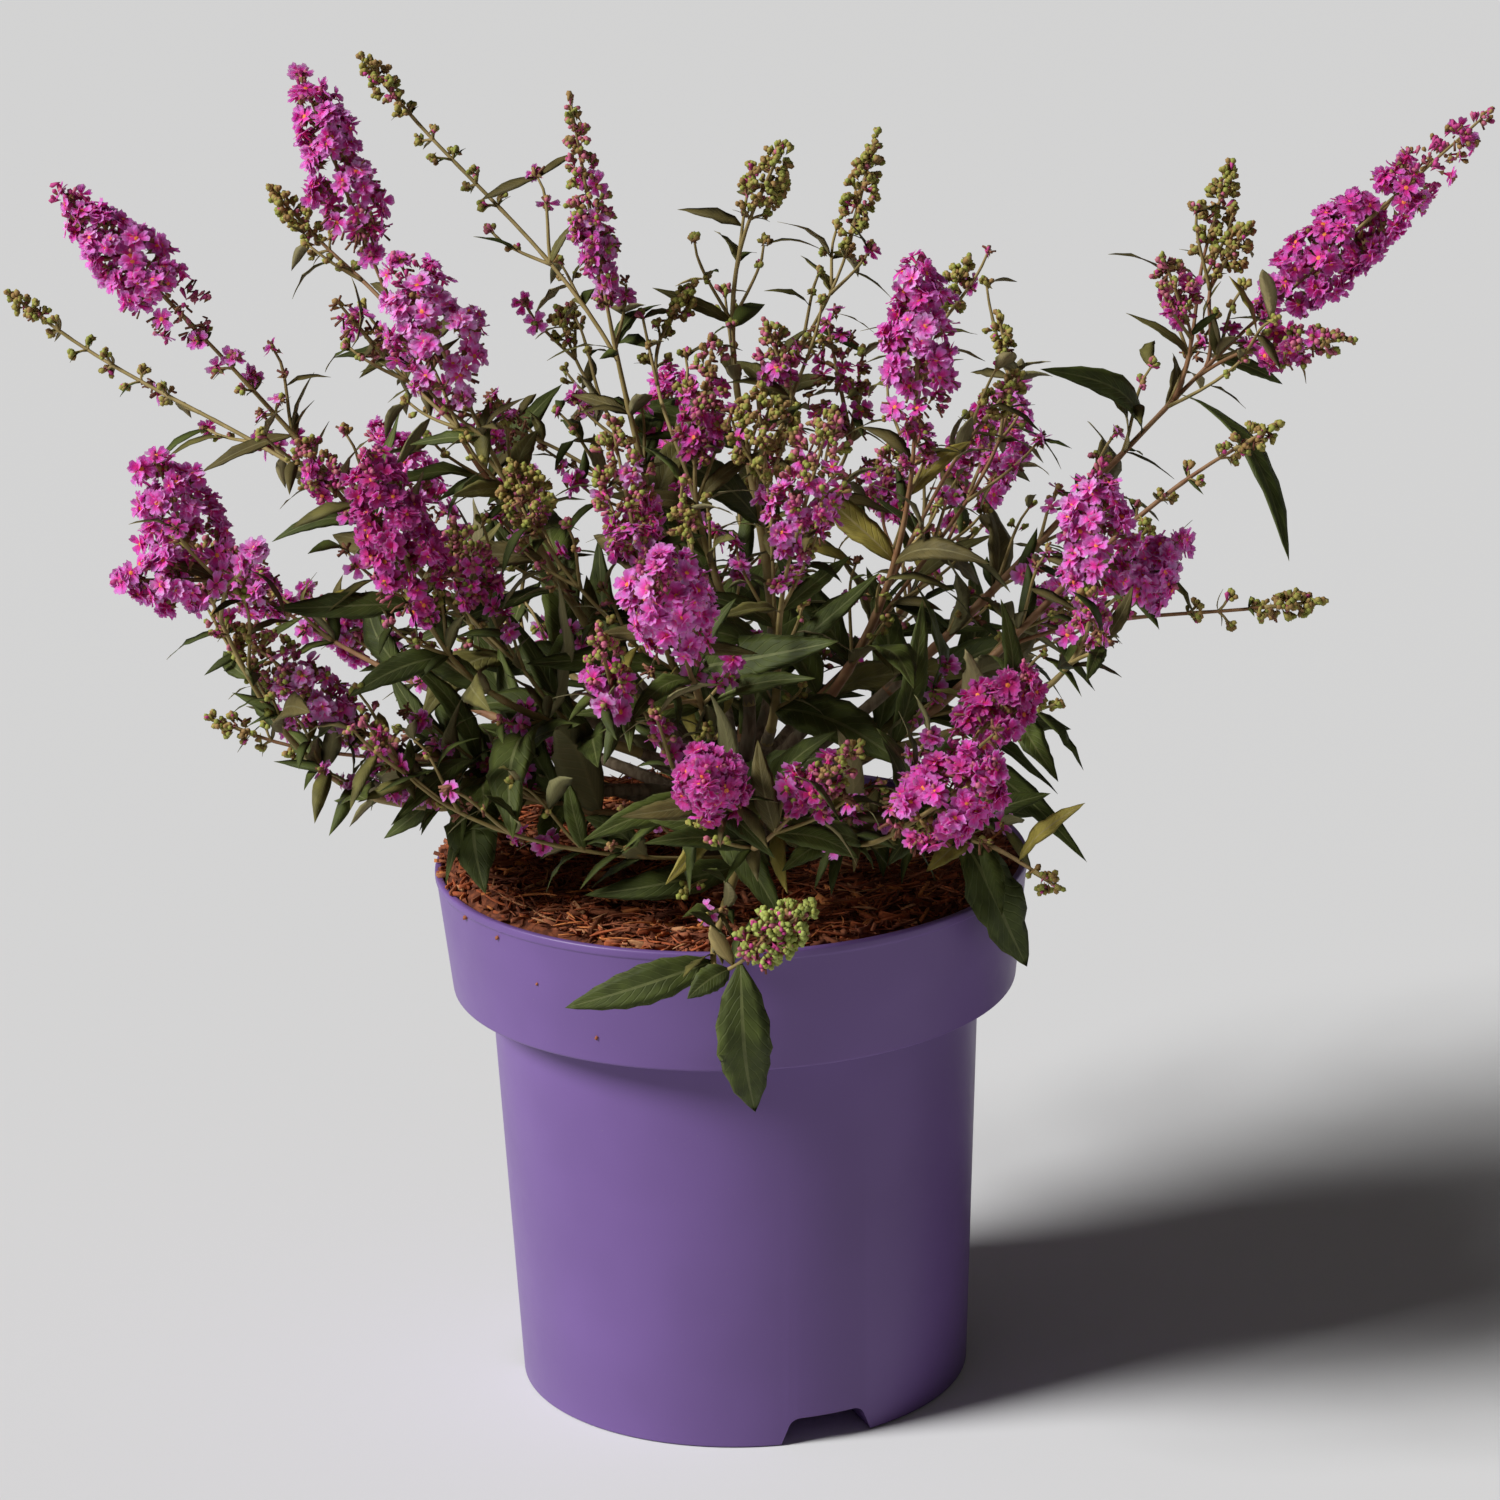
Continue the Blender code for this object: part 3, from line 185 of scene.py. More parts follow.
# Share of its solid's thickness that a stem has, where the bark ends and at the tip
STEM_SLIMNESS = (0.92, 0.66)
STEM_STEP = 0.0025
BOUGH_STEP = 0.0016
BOUGH_SUNK = 0.0008
BOUGH_SIDES = 12
BOUGH_RELIEF = 0.06
BOUGH_RIDGES = 1.3
BARK_STRETCH = 0.22       # step up the bark's noise from ring to ring
BARK_GRAIN = 3.1          # the finer noise, as a multiple of the coarse one
NODE_SWELL = 0.16         # how much thicker a stem is at its nodes
BOUGH_LIFT = 0.25
BOUGH_LEAST_RISE = 0.12
SPREAD_ROUNDS = 300
SPREAD_STEP = 0.12
STEM_SAMPLES = 25
MAIN_HANDLES = (0.36, 0.34)
MAIN_ROOT_FREE = 0.012
SIDE_SAMPLES = 13
SIDE_HANDLES = (0.35, 0.30)
SIDE_ROOT_FREE = 0.006
SIDE_ANGLE = 38.0
SIDE_REACH_COST = 120.0
SIDE_PLACES = 30
SIDE_PLACES_FROM = BOUGH_SHARE + 0.06     # shares of the main stem's length
SIDE_PLACES_TO = 0.94
SIDE_SET_OFF = 1.4        # how soon a side twig turns towards its spike
STEM_CLEARANCE = 0.0012
BOWS = (0.0, 0.004, 0.008, 0.012, 0.018, 0.024)
BOW_TURNS = 8
TEST_STEP = 0.002
SPIKE_TESTED = (0.90, 0.45)
SPIKE_TESTED_FROM = 0.6   # in radii from its foot
SLIM_SPIKE = 0.007
SLIM_PROFILE = ((0.0, 0.45), (0.35, 1.0), (0.80, 0.60), (1.0, 0.0))
SPIKE_PROFILE = ((0.0, 0.40), (0.16, 0.92), (0.45, 1.0), (0.76, 0.74), (0.94, 0.36), (1.0, 0.0))
CLUSTER_FIRST = 0.010
CLUSTER_STEP = 0.0125
CLUSTER_FREE_FOOT = 0.020
BOUGH_OVERLAP = 0.012     # how far a dressed stem starts inside its bark

# Leaves
LEAF_NODE_STEP = 0.025
LEAFY_NODE_STEP = 0.014
LEAF_LENGTHS = (0.044, 0.078)
LEAF_WIDTH_SHARE = 0.26
LEAF_ARCH = 0.09
LEAF_ANGLE = 60.0
LEAF_DROOP = 0.14
LEAF_ROLL = 38.0
LEAF_PAIR_OFFSET = 0.0004
LEAF_FREE_MAIN = (0.008, 0.008)
LEAF_FREE_SIDE = (0.016, 0.006)
LEAF_SIZE_RISE = 1.3      # how soon the leaves reach their full length down the stem
LEAF_ANGLE_SPREAD = 9
LEAF_PAIR_TURN = 0.25     # how far a pair is off a right angle to the last, in radians
UNEVEN = (0.85, 1.15)     # spread of lengths and steps
LEAF_TRIES = 4
LEAF_TRY_LOSS = 0.07      # part of its length that a leaf loses with each try
LEAF_TRY_SWING = 40
LEAF_TESTED = np.linspace(0.25, 1.0, 6)[:, None]
LEAF_SEARCH = 0.02
LEAF_SPACE = 0.0012       # room between a leaf's middle line and a stem or spike
CROWN_UNDERSIDE = ((0.0, 0.207), (0.115, 0.207), (0.170, 0.255), (0.300, 0.411))

# Each shoot is one bough and the mass that it carries. Its first flower spike ends the
# main stem, and the others end side twigs. A spike is given by what it bears, its tip
# (right, back, up), its lean and turn, its length and radius, and the length of loose
# clusters below it.
SHOOTS = {
    "outer_left": [
        ("bloom", (-0.241, 0.020, 0.465), 43, 170, 0.072, 0.015, 0.045),
        ("bud", (-0.272, 0.090, 0.412), 55, 162, 0.020, 0.004, 0.070)],
    "high_left": [
        ("bloom", (-0.153, 0.060, 0.499), 20, 161, 0.070, 0.014, 0.012),
        ("bud", (-0.169, 0.080, 0.452), 44, 165, 0.028, 0.005, 0.020)],
    "upper_left": [
        ("bloom", (-0.115, -0.020, 0.444), 23, 180, 0.054, 0.018, 0.012),
        ("spent", (-0.140, 0.010, 0.422), 37, 180, 0.022, 0.007, 0.012)],
    "middle_left": [
        ("bloom", (-0.201, -0.080, 0.388), 18, -159, 0.055, 0.017, 0.030),
        ("bloom", (-0.214, -0.100, 0.347), 84, -163, 0.035, 0.012, 0.0)],
    "front_left": [
        ("bloom", (-0.126, -0.080, 0.388), 18, -151, 0.067, 0.016, 0.012),
        ("half", (-0.153, -0.040, 0.382), 34, 180, 0.030, 0.009, 0.012),
        ("half", (-0.098, -0.050, 0.353), 23, -138, 0.038, 0.010, 0.0)],
    "low_left": [
        ("half", (-0.185, -0.060, 0.323), 48, 180, 0.065, 0.012, 0.020),
        ("bud", (-0.193, -0.030, 0.275), 67, 180, 0.020, 0.004, 0.020)],
    "low_front": [
        ("bud", (0.028, -0.150, 0.236), 49, -12, 0.031, 0.010, 0.0),
        ("half", (-0.131, -0.090, 0.291), 34, 180, 0.021, 0.006, 0.0)],
    "front_centre": [
        ("bloom", (-0.023, -0.165, 0.364), 51, -98, 0.065, 0.017, 0.0),
        ("half", (-0.045, -0.120, 0.330), 20, -120, 0.033, 0.009, 0.0)],
    "low_centre": [
        ("bloom", (-0.008, -0.175, 0.295), 59, -94, 0.047, 0.013, 0.0),
        ("half", (-0.027, -0.110, 0.300), 15, 180, 0.020, 0.005, 0.0)],
    "front_right": [
        ("half", (0.047, -0.140, 0.292), 44, 0, 0.038, 0.009, 0.0)],
    "low_right": [
        ("bloom", (0.093, -0.165, 0.289), 55, -43, 0.053, 0.017, 0.0),
        ("bloom", (0.109, -0.100, 0.305), 38, -21, 0.044, 0.013, 0.0)],
    "middle_right": [
        ("bloom", (0.137, -0.060, 0.371), 4, 0, 0.053, 0.015, 0.020),
        ("bloom", (0.167, -0.050, 0.339), 37, -28, 0.036, 0.011, 0.0),
        ("half", (0.127, -0.090, 0.331), 26, -146, 0.020, 0.008, 0.0)],
    "far_right": [
        ("bud", (0.206, -0.020, 0.373), 61, 0, 0.020, 0.005, 0.045),
        ("bud", (0.223, -0.010, 0.302), 85, 0, 0.022, 0.005, 0.035)],
    "outer_right": [
        ("bloom", (0.292, 0.050, 0.474), 50, 7, 0.110, 0.013, 0.020),
        ("half", (0.167, 0.030, 0.426), 20, 180, 0.027, 0.010, 0.0),
        ("half", (0.234, 0.000, 0.399), 79, -32, 0.039, 0.009, 0.0),
        ("bud", (0.197, 0.070, 0.454), 20, 27, 0.033, 0.006, 0.012),
        ("bud", (0.202, 0.050, 0.433), 35, 0, 0.023, 0.006, 0.0)],
    "upper_right": [
        ("bloom", (0.075, -0.020, 0.439), 3, 0, 0.063, 0.015, 0.020),
        ("bud", (0.094, 0.020, 0.429), 27, 0, 0.025, 0.006, 0.0),
        ("bud", (0.107, 0.060, 0.400), 10, 180, 0.020, 0.004, 0.0),
        ("bud", (0.113, 0.020, 0.384), 40, 0, 0.022, 0.006, 0.012)],
    "centre_right": [
        ("half", (0.040, -0.070, 0.393), 17, 0, 0.050, 0.015, 0.020),
        ("bud", (0.014, -0.010, 0.389), 5, 180, 0.031, 0.011, 0.0)],
    "centre_left": [
        ("half", (-0.039, -0.050, 0.389), 15, 131, 0.051, 0.014, 0.0),
        ("bud", (-0.014, -0.080, 0.365), 11, 180, 0.015, 0.005, 0.0),
        ("bud", (-0.076, -0.030, 0.368), 20, 180, 0.025, 0.008, 0.0)],
    "centre": [
        ("half", (-0.001, 0.000, 0.407), 10, 0, 0.044, 0.010, 0.012),
        ("bud", (-0.007, 0.050, 0.417), 35, 0, 0.020, 0.005, 0.020),
        ("spent", (-0.105, 0.030, 0.377), 68, 180, 0.036, 0.010, 0.0)],
    "high_centre": [
        ("half", (-0.052, 0.040, 0.490), 8, 180, 0.074, 0.009, 0.015),
        ("bud", (-0.133, 0.100, 0.498), 41, 161, 0.024, 0.005, 0.060),
        ("bud", (-0.061, 0.080, 0.402), 17, 180, 0.015, 0.005, 0.0)],
    "high_right": [
        ("bud", (0.027, 0.060, 0.466), 26, 0, 0.025, 0.007, 0.015),
        ("half", (0.018, 0.040, 0.403), 20, 180, 0.026, 0.010, 0.0),
        ("bud", (0.064, 0.110, 0.462), 20, 39, 0.045, 0.006, 0.015),
        ("spent", (0.042, 0.060, 0.398), 10, 180, 0.043, 0.013, 0.0)],
    "back_centre": [
        ("bloom", (-0.020, 0.205, 0.350), 42, 95, 0.060, 0.015, 0.020),
        ("bud", (0.030, 0.170, 0.345), 30, 60, 0.025, 0.006, 0.012)],
    "back_left": [
        ("bloom", (-0.140, 0.180, 0.335), 46, 130, 0.060, 0.015, 0.020),
        ("half", (-0.085, 0.190, 0.320), 50, 105, 0.032, 0.010, 0.0)],
    "back_right": [
        ("bloom", (0.120, 0.175, 0.345), 44, 55, 0.062, 0.015, 0.020),
        ("half", (0.070, 0.200, 0.315), 52, 80, 0.032, 0.010, 0.0)],
    "far_back_right": [
        ("half", (0.155, 0.165, 0.278), 62, 45, 0.050, 0.012, 0.020),
        ("bud", (0.170, 0.110, 0.300), 45, 20, 0.022, 0.005, 0.020)],
    "far_back_left": [
        ("half", (-0.215, 0.115, 0.305), 62, 155, 0.050, 0.012, 0.020),
        ("bloom", (-0.165, 0.135, 0.270), 70, 140, 0.036, 0.012, 0.0)],
    "rim_right": [
        ("bud", (0.118, -0.100, 0.222), 112, -40, 0.012, 0.004, 0.0)],
    "rim_left": [
        ("leafy", (-0.115, -0.045, 0.262), 62, 200, 0.012, 0.003, 0.0)],
    "rim_back": [
        ("leafy", (0.010, 0.135, 0.252), 68, 85, 0.012, 0.003, 0.0)],
}

# Single leaves that stand out: the shoot, the place on its main stem (0 to 1), the tip
# and the width
LONE_LEAVES = (
    ("low_front", 0.97, (0.006, -0.130, 0.151), 0.016),
    ("low_front", 0.80, (-0.061, -0.128, 0.192), 0.012),
    ("low_front", 0.93, (-0.017, -0.150, 0.202), 0.008),
    ("rim_right", 0.70, (0.108, -0.064, 0.180), 0.018),
    ("outer_right", 0.82, (0.208, -0.030, 0.323), 0.013),
    ("outer_right", 0.74, (0.119, 0.000, 0.391), 0.010),
    ("rim_left", 0.80, (-0.090, -0.078, 0.219), 0.018),
    ("low_left", 0.62, (-0.122, -0.096, 0.252), 0.009),
    ("middle_right", 0.40, (0.130, -0.070, 0.222), 0.010),
)

# Colours are base colours, linear. A petal has one at its edge and one at its throat, where the
# deeper colour is partly the flower's own and partly painted shade
POT_COLOUR = (0.155, 0.086, 0.270)
DUST_COLOUR = (0.26, 0.20, 0.24)
FLOOR_COLOUR = (0.72, 0.72, 0.72)
BARK_COLOURS = ((0.115, 0.078, 0.045), (0.215, 0.160, 0.100), (0.150, 0.125, 0.075))
LEAF_COLOURS = ((0.066, 0.084, 0.015), (0.048, 0.062, 0.011), (0.120, 0.108, 0.028),
                (0.098, 0.078, 0.024), (0.280, 0.230, 0.045))
LEAF_EDGES = ((0.140, 0.160, 0.048), (0.112, 0.130, 0.038), (0.190, 0.172, 0.062),
              (0.165, 0.140, 0.052), (0.300, 0.240, 0.070))
RIB_COLOURS = ((0.140, 0.155, 0.046), (0.116, 0.130, 0.038), (0.180, 0.164, 0.058),
               (0.156, 0.132, 0.050), (0.330, 0.270, 0.100))
FELT_COLOURS = ((0.200, 0.178, 0.078), (0.170, 0.158, 0.066), (0.240, 0.200, 0.090),
                (0.190, 0.165, 0.078), (0.340, 0.260, 0.100))
LEAF_KINDS = len(LEAF_COLOURS)
VEINS = 13                # pairs of veins along a leaf
VEIN_SLANT = 2.6
LOW_LEAF_MIX = (44, 42, 8, 6)      # odds of the leaf colours low in the crown
HIGH_LEAF_MIX = (16, 14, 36, 34)
LEAF_MIX_HEIGHTS = (0.25, 0.36)
PETAL_COLOURS = (((0.81, 0.320, 0.73), (0.84, 0.060, 0.36)),
                 ((0.75, 0.180, 0.61), (0.80, 0.030, 0.29)),
                 ((0.64, 0.090, 0.44), (0.70, 0.018, 0.22)),
                 ((0.50, 0.052, 0.28), (0.46, 0.012, 0.12)))
PETAL_DEPTH = {"Weight": 0.5, "Radius": (1.0, 0.25, 0.55), "Scale": 0.0012}
TINT_NEIGHBOURS = ((1, 1), (0, 2), (1, 3), (2, 2))
# Colours, scale of their mixture, roughness and bump
PLAIN_FINISHES = {
    "stem_olive": ((0.235, 0.178, 0.056), (0.310, 0.230, 0.088), 160.0, 0.65, 0.2),
    "stem_tan": ((0.300, 0.205, 0.085), (0.230, 0.150, 0.060), 160.0, 0.70, 0.2),
    "stem_red": ((0.200, 0.090, 0.038), (0.260, 0.145, 0.065), 160.0, 0.65, 0.2),
    "flower_eye": ((0.80, 0.24, 0.04), (0.66, 0.15, 0.04), 500.0, 0.6, 0.0),
    "calyx": ((0.180, 0.135, 0.038), (0.210, 0.105, 0.045), 400.0, 0.8, 0.0),
    "bud_pink": ((0.52, 0.130, 0.22), (0.38, 0.110, 0.13), 300.0, 0.7, 0.0),
    "bud_magenta": ((0.50, 0.050, 0.23), (0.38, 0.035, 0.15), 300.0, 0.65, 0.0),
    "bud_green": ((0.300, 0.320, 0.060), (0.230, 0.240, 0.045), 300.0, 0.8, 0.0),
    "bud_olive": ((0.290, 0.255, 0.055), (0.360, 0.300, 0.075), 300.0, 0.8, 0.0),
    "bud_brown": ((0.260, 0.160, 0.050), (0.330, 0.200, 0.070), 300.0, 0.8, 0.0),
    "bud_fresh": ((0.380, 0.430, 0.110), (0.300, 0.350, 0.075), 300.0, 0.8, 0.0),
    "husk_dark": ((0.125, 0.038, 0.024), (0.190, 0.068, 0.040), 300.0, 0.85, 0.0),
    "husk_brown": ((0.260, 0.118, 0.062), (0.170, 0.070, 0.040), 300.0, 0.85, 0.0),
    "mulch_bed": ((0.090, 0.024, 0.010), (0.240, 0.070, 0.028), 420.0, 0.92, 0.8),
    "chip_dark": ((0.120, 0.034, 0.015), (0.190, 0.054, 0.024), 500.0, 0.9, 0.5),
    "chip_brown": ((0.260, 0.080, 0.035), (0.350, 0.118, 0.052), 500.0, 0.9, 0.5),
    "chip_red": ((0.420, 0.108, 0.036), (0.310, 0.074, 0.026), 500.0, 0.9, 0.5),
    "chip_orange": ((0.640, 0.230, 0.070), (0.500, 0.160, 0.045), 500.0, 0.9, 0.5),
    "chip_tan": ((0.560, 0.280, 0.130), (0.440, 0.200, 0.090), 500.0, 0.9, 0.5),
}
STEM_KINDS = ("stem_olive", "stem_tan", "stem_red")
STEM_OLIVE = 0
BUD_KINDS = ("calyx", "calyx", "bud_pink", "bud_magenta", "bud_green", "bud_olive", "bud_brown",
             "bud_fresh")
BRIGHT_BUD_TINTS = (1, 1, 0)      # counted from bud_pink
BUD_TINTS = {"bloom": (0, 1, 0), "long": (4, 1, 4), "fresh": (5, 5, 2), "half": (2, 0, 4),
             "bud": (3, 2, 4), "spent": (4, 3, 4), "core": (4, 0, 4), "loose": (4, 2, 0)}
HUSK_KINDS = ("husk_dark", "husk_brown")

# Flowers and buds
FLOWER_RADIUS = 0.0046
FLOWER_FORMS = ((0.10, 0.10, 3), (0.28, 0.12, 4), (-0.18, 0.12, 5))     # lift, crinkle, seed
# One petal outwards from the eye, and the (height, radius) rings of the other parts and of
# the buds, all facing along Z, for a flower or bud of size 1
PETAL_OUTLINE = ((0.10, -0.10), (0.44, -0.30), (0.82, -0.42), (1.00, -0.20), (0.91, 0.03),
                 (1.02, 0.26), (0.76, 0.42), (0.38, 0.28), (0.10, 0.10))
PETAL_MIDDLE = 0.56
PETAL_THICKNESS = 0.04
PETAL_UNEVEN = 0.12
TUBE_LENGTH = 1.30
EYE_RINGS = ((-0.16, 0), (0.02, 0.195), (0.055, 0))
TUBE_RINGS = ((-1.69, 0), (-0.02, 0.16), (0.01, 0))
CALYX_RINGS = ((-1.44, 0), (-0.884, 0.24), (-0.936, 0))
BUD_RINGS = ((0.0, 0), (0.25, 0.44), (0.80, 0.50), (1.15, 0))
BUD_CALYX_RINGS = ((-0.6, 0), (0.35, 0.47), (0.3, 0))
CLUB_RINGS = ((-1.0, 0), (-0.1, 0.31), (0.75, 0.53), (1.20, 0))
HUSK_RINGS = ((-1.0, 0), (-0.5, 0.27), (0.75, 0.32), (0.55, 0))
EYE_SLOT = -1             # parts under 0 have one slot of their own, the first and the second
CALYX_SLOT = -2
FIRST_TINT = 2            # the slot after those, where the tints start
ITEM_SIZES = {"bright_bud": (0.0014, 0.0020), "club": (0.0014, 0.0020),
              "bud": (0.0018, 0.0026), "spent": (0.0013, 0.0019)}
# The shape of each kind of bud, how far it is sunk in its cluster and how long it is drawn
BUD_SHAPES = {"bright_bud": ("clubs", 1.0, 1.2), "club": ("clubs", 1.0, 1.3),
              "bud": ("buds", 0.6, 1.0)}

# Spikes and loose clusters
SPIKE_LEAN = (0.0, 1.1)   # of the clusters, at the foot and at the tip, in radians
THIN_WHORL = 0.004        # a whorl under this radius has 2 heads, and no buds inside
SLIM_WHORL = 0.008        # and one under this radius has 3
WIDE_HEADS = (5, 5, 6)
CYME_SHARE = 0.62         # largest size of a cluster, for a whorl of radius 1
# Each kind of spike: its fullness, the steps between its whorls at the foot and at the tip,
# the size of a cluster and how many flowers or buds it holds
SPIKE_KINDS = {
    "bloom": (1.00, 0.0084, 0.0042, 0.0064, 7),
    "half": (0.95, 0.0066, 0.0034, 0.0048, 11),
    "bud": (1.30, 0.0046, 0.0024, 0.0040, 13),
    "spent": (1.00, 0.0070, 0.0045, 0.0050, 9),
    "long": (1.15, 0.0078, 0.0058, 0.0066, 8),
    "fresh": (1.05, 0.0050, 0.0026, 0.0046, 16),
}
# Spikes with a look of their own, by their tips
DRESSED_AS = {(0.292, 0.050, 0.474): "long", (0.028, -0.150, 0.236): "fresh"}
INNER_BUDS = 4
LOOSE_KINDS = {"bloom": "loose", "half": "loose", "bud": "bud", "spent": "spent"}
# Odds of a flower, a bright bud, a bud, a club-shaped bud and a spent flower, up the spike
ITEM_ODDS = {
    "bloom": ((12, 8, 6, 14, 60), (46, 8, 4, 8, 34), (80, 8, 0, 4, 8), (84, 12, 0, 4, 0),
              (70, 28, 0, 2, 0), (20, 60, 5, 15, 0)),
    "half": ((26, 28, 10, 14, 22), (16, 32, 22, 24, 6), (5, 22, 43, 30, 0), (0, 12, 58, 30, 0),
             (0, 5, 68, 27, 0)),
    "bud": ((0, 6, 58, 28, 8), (0, 5, 68, 27, 0), (0, 2, 74, 24, 0)),
    "long": ((40, 10, 6, 14, 30), (74, 8, 2, 8, 8), (82, 10, 0, 6, 2), (66, 24, 0, 8, 2),
             (30, 40, 8, 20, 2), (5, 46, 20, 22, 7), (0, 36, 34, 24, 6)),
    "fresh": ((0, 30, 30, 36, 4), (0, 14, 60, 26, 0), (0, 0, 84, 16, 0)),
    "spent": ((6, 0, 4, 10, 80), (8, 4, 4, 10, 74), (4, 6, 10, 20, 60)),
    "core": ((0, 0, 30, 35, 35),),
    "loose": ((30, 15, 10, 10, 35), (22, 18, 20, 15, 25), (6, 20, 34, 25, 15)),
}
# Tint of each spike of a shoot, from 0, palest, to 3, deepest
SPIKE_TINTS = {
    "outer_left": (1, 1), "high_left": (1, 1), "upper_left": (0, 1), "middle_left": (1, 1),
    "front_left": (3, 2, 2), "low_left": (0, 1), "low_front": (2, 2), "front_centre": (1, 2),
    "low_centre": (3, 2), "front_right": (3, 3), "low_right": (2, 3), "middle_right": (1, 1, 2),
    "far_right": (1, 1), "outer_right": (2, 3, 3, 1, 1), "upper_right": (1, 1, 1, 1),
    "centre_right": (1, 1), "centre_left": (1, 1, 1), "centre": (2, 1, 2),
    "high_centre": (1, 1, 1), "high_right": (1, 2, 1, 2),
}
SOURCE_DRAWS_MULCH = 60   # what the solids' rule draws for the mulch, before the shoots
STALK_LENGTHS = (0.0030, 0.0065)  # of the loose clusters
STALK_BOW = 0.0004
STALK_RADII = (0.00055, 0.0005, 0.0006)
CLUSTER_SIZES = (0.0026, 0.0040)
CLUSTER_COUNTS = (8, 13)
BRACT_LENGTHS = (0.006, 0.011)
BRACT_WIDTH = 0.0016

# Small leaves and short twigs beside the leaves
SMALL_LEAF_DROOP = np.array([0, 0, 0.55])
SMALL_LEAF_WIDTHS = (0.20, 0.28)  # shares of the length
SMALL_LEAF_ROLL = 0.6
AXIL_LEAF_LENGTHS = (0.012, 0.028)
TWIG_SHARE = 0.75
TWIG_LENGTHS = (0.016, 0.034)
TWIG_RADIUS = 0.0008
TWIG_TIP_RADIUS = 0.0005
TWIG_NODES = (0.55, 0.98)
TWIG_LEAF_LENGTHS = (0.013, 0.029)
TWIG_HEAD_SIZES = (0.0022, 0.0042)
TWIG_HEAD_COUNTS = (7, 13)
TWIG_HEADS = (("bud", 0.5), ("bud", 0.5), ("half", 0.9), ("half", 0.5), ("loose", 0.5),
              ("loose", 0.2), ("loose", 0.2), ("spent", 0.5), ("spent", 0.2), ("spent", 0.2))
HIGH_TWIG_HEADS = (("bud", 0.5), ("bud", 0.5), ("half", 0.9), ("spent", 0.5), ("loose", 0.9))
HIGH_TWIGS = 0.37

# The rule's leaves, as they are dressed
LEAF_GROWN = (0.66, 0.98)         # share of its solid's length that a leaf has
LEAF_SLIMNESS = (0.60, 0.90)
SIDE_THINNING = 0.68
LOW_LEFT = (-0.045, 0.31, 0.40)     # left of this and below this, the share left out
LONE_FULLNESS = 1.2
SIDE_LEAF_SIZE = 0.62
# Upper faces turn away from the pot's axis, and this much to the front and up
FACING = np.array([0, -0.15, 0.10])
FACING_LIMIT = 1.0        # radians by which a leaf turns its upper face outwards
FACING_SHARE = 0.8        # parts that this turn and the rule's own have in a leaf's roll
OWN_ROLL_SHARE = 0.5
# Spread of a blade's arch, fold, twist, sickle bend and the phase and height of its waves
BLADE_BENDS = ((0.7, 1.9), (0.10, 0.50), (-0.6, 0.6), (-0.07, 0.07), (0, math.tau),
               (0.044, 0.198))
BLADE_WIDEST = 0.80       # a power. Under 1 the widest place is nearer the foot
BLADE_FOOT = 0.06
BLADE_TEETH = (1.05, 0.96)
BLADE_WAVES = 17.0
BLADE_THICKNESS = 0.00014         # at the edge of the blade's foot
BLADE_THICKENING = 0.0311         # added for each metre of half width

# What changes with height: the heights, and the values there
LEAF_LENGTH = ((0.32, 0.42), (1.00, 0.60))
LEAF_BREADTH = ((0.26, 0.38), (1.15, 1.10))
LEAF_THINNING = ((0.24, 0.32, 0.40), (0.16, 0.36, 0.60))      # share of leaves left out
AXIL_SHARE = ((0.25, 0.40), (0.42, 0.25))
TWIG_LEAF_SHARE = ((0.25, 0.40), (0.55, 0.35))

# Small leaves on the bare boughs
LOW_LEAF_FREE = 0.012
LOW_LEAF_STEP = 0.016
LOW_LEAF_SHARE = 0.15
LOW_LEAF_LENGTHS = (0.3, 0.6)
LOW_LEAF_WIDTH = 0.45


def unit(v):
    """Unit vector along v."""
    v = np.asarray(v, float)
    return v / np.linalg.norm(v)


def direction(lean, turn):
    """Unit vector with this lean from upright and this turn from +X."""
    lean = math.radians(lean)
    turn = math.radians(turn)
    flat = math.sin(lean)
    return np.array([flat * math.cos(turn), flat * math.sin(turn), math.cos(lean)])


def across(v):
    """Any unit vector at right angles to v."""
    helper = (0, 0, 1) if abs(v[2]) < 0.9 else (1, 0, 0)
    return unit(np.cross(v, helper))


def turned(v, axis, angle):
    """v turned about a unit axis by an angle in radians."""
    c = math.cos(angle)
    s = math.sin(angle)
    return v * c + np.cross(axis, v) * s + axis * np.dot(axis, v) * (1 - c)


def bezier(start, start_handle, end_handle, end, count):
    """Points along a cubic curve."""
    t = np.linspace(0, 1, count)[:, None]
    return ((1 - t) ** 3 * start + 3 * (1 - t) ** 2 * t * start_handle
            + 3 * (1 - t) * t ** 2 * end_handle + t ** 3 * end)


def lengths_along(points):
    """Distance of each point from the first, along the line."""
    steps = np.linalg.norm(np.diff(points, axis=0), axis=1)
    return np.concatenate([[0.0], np.cumsum(steps)])


def at_length(points, where):
    """Point and tangent of a line at a distance from its start."""
    s = lengths_along(points)
    place = np.array([np.interp(where, s, points[:, k]) for k in range(3)])
    i = int(np.clip(np.searchsorted(s, where), 1, len(s) - 1))
    return place, unit(points[i] - points[i - 1])


# Growth, by the same rule as the solids

def trunk_point(normal, lift=0.0):
    """Point of the trunk's dome whose outward normal this is, moved out by lift."""
    flat = math.hypot(normal[0], normal[1])
    a = TRUNK_NECK_RADIUS
    c = TRUNK_DOME_HEIGHT
    size = math.sqrt((a * flat) ** 2 + (c * normal[2]) ** 2)
    point = np.array([a * a * normal[0], a * a * normal[1], c * c * normal[2]]) / size
    height = TRUNK_NECK_HEIGHT + point[2]
    foot = MULCH_CENTRE_HEIGHT + GAP
    return np.array([point[0] + TRUNK_LEAN * height, point[1], foot + height]) + normal * lift


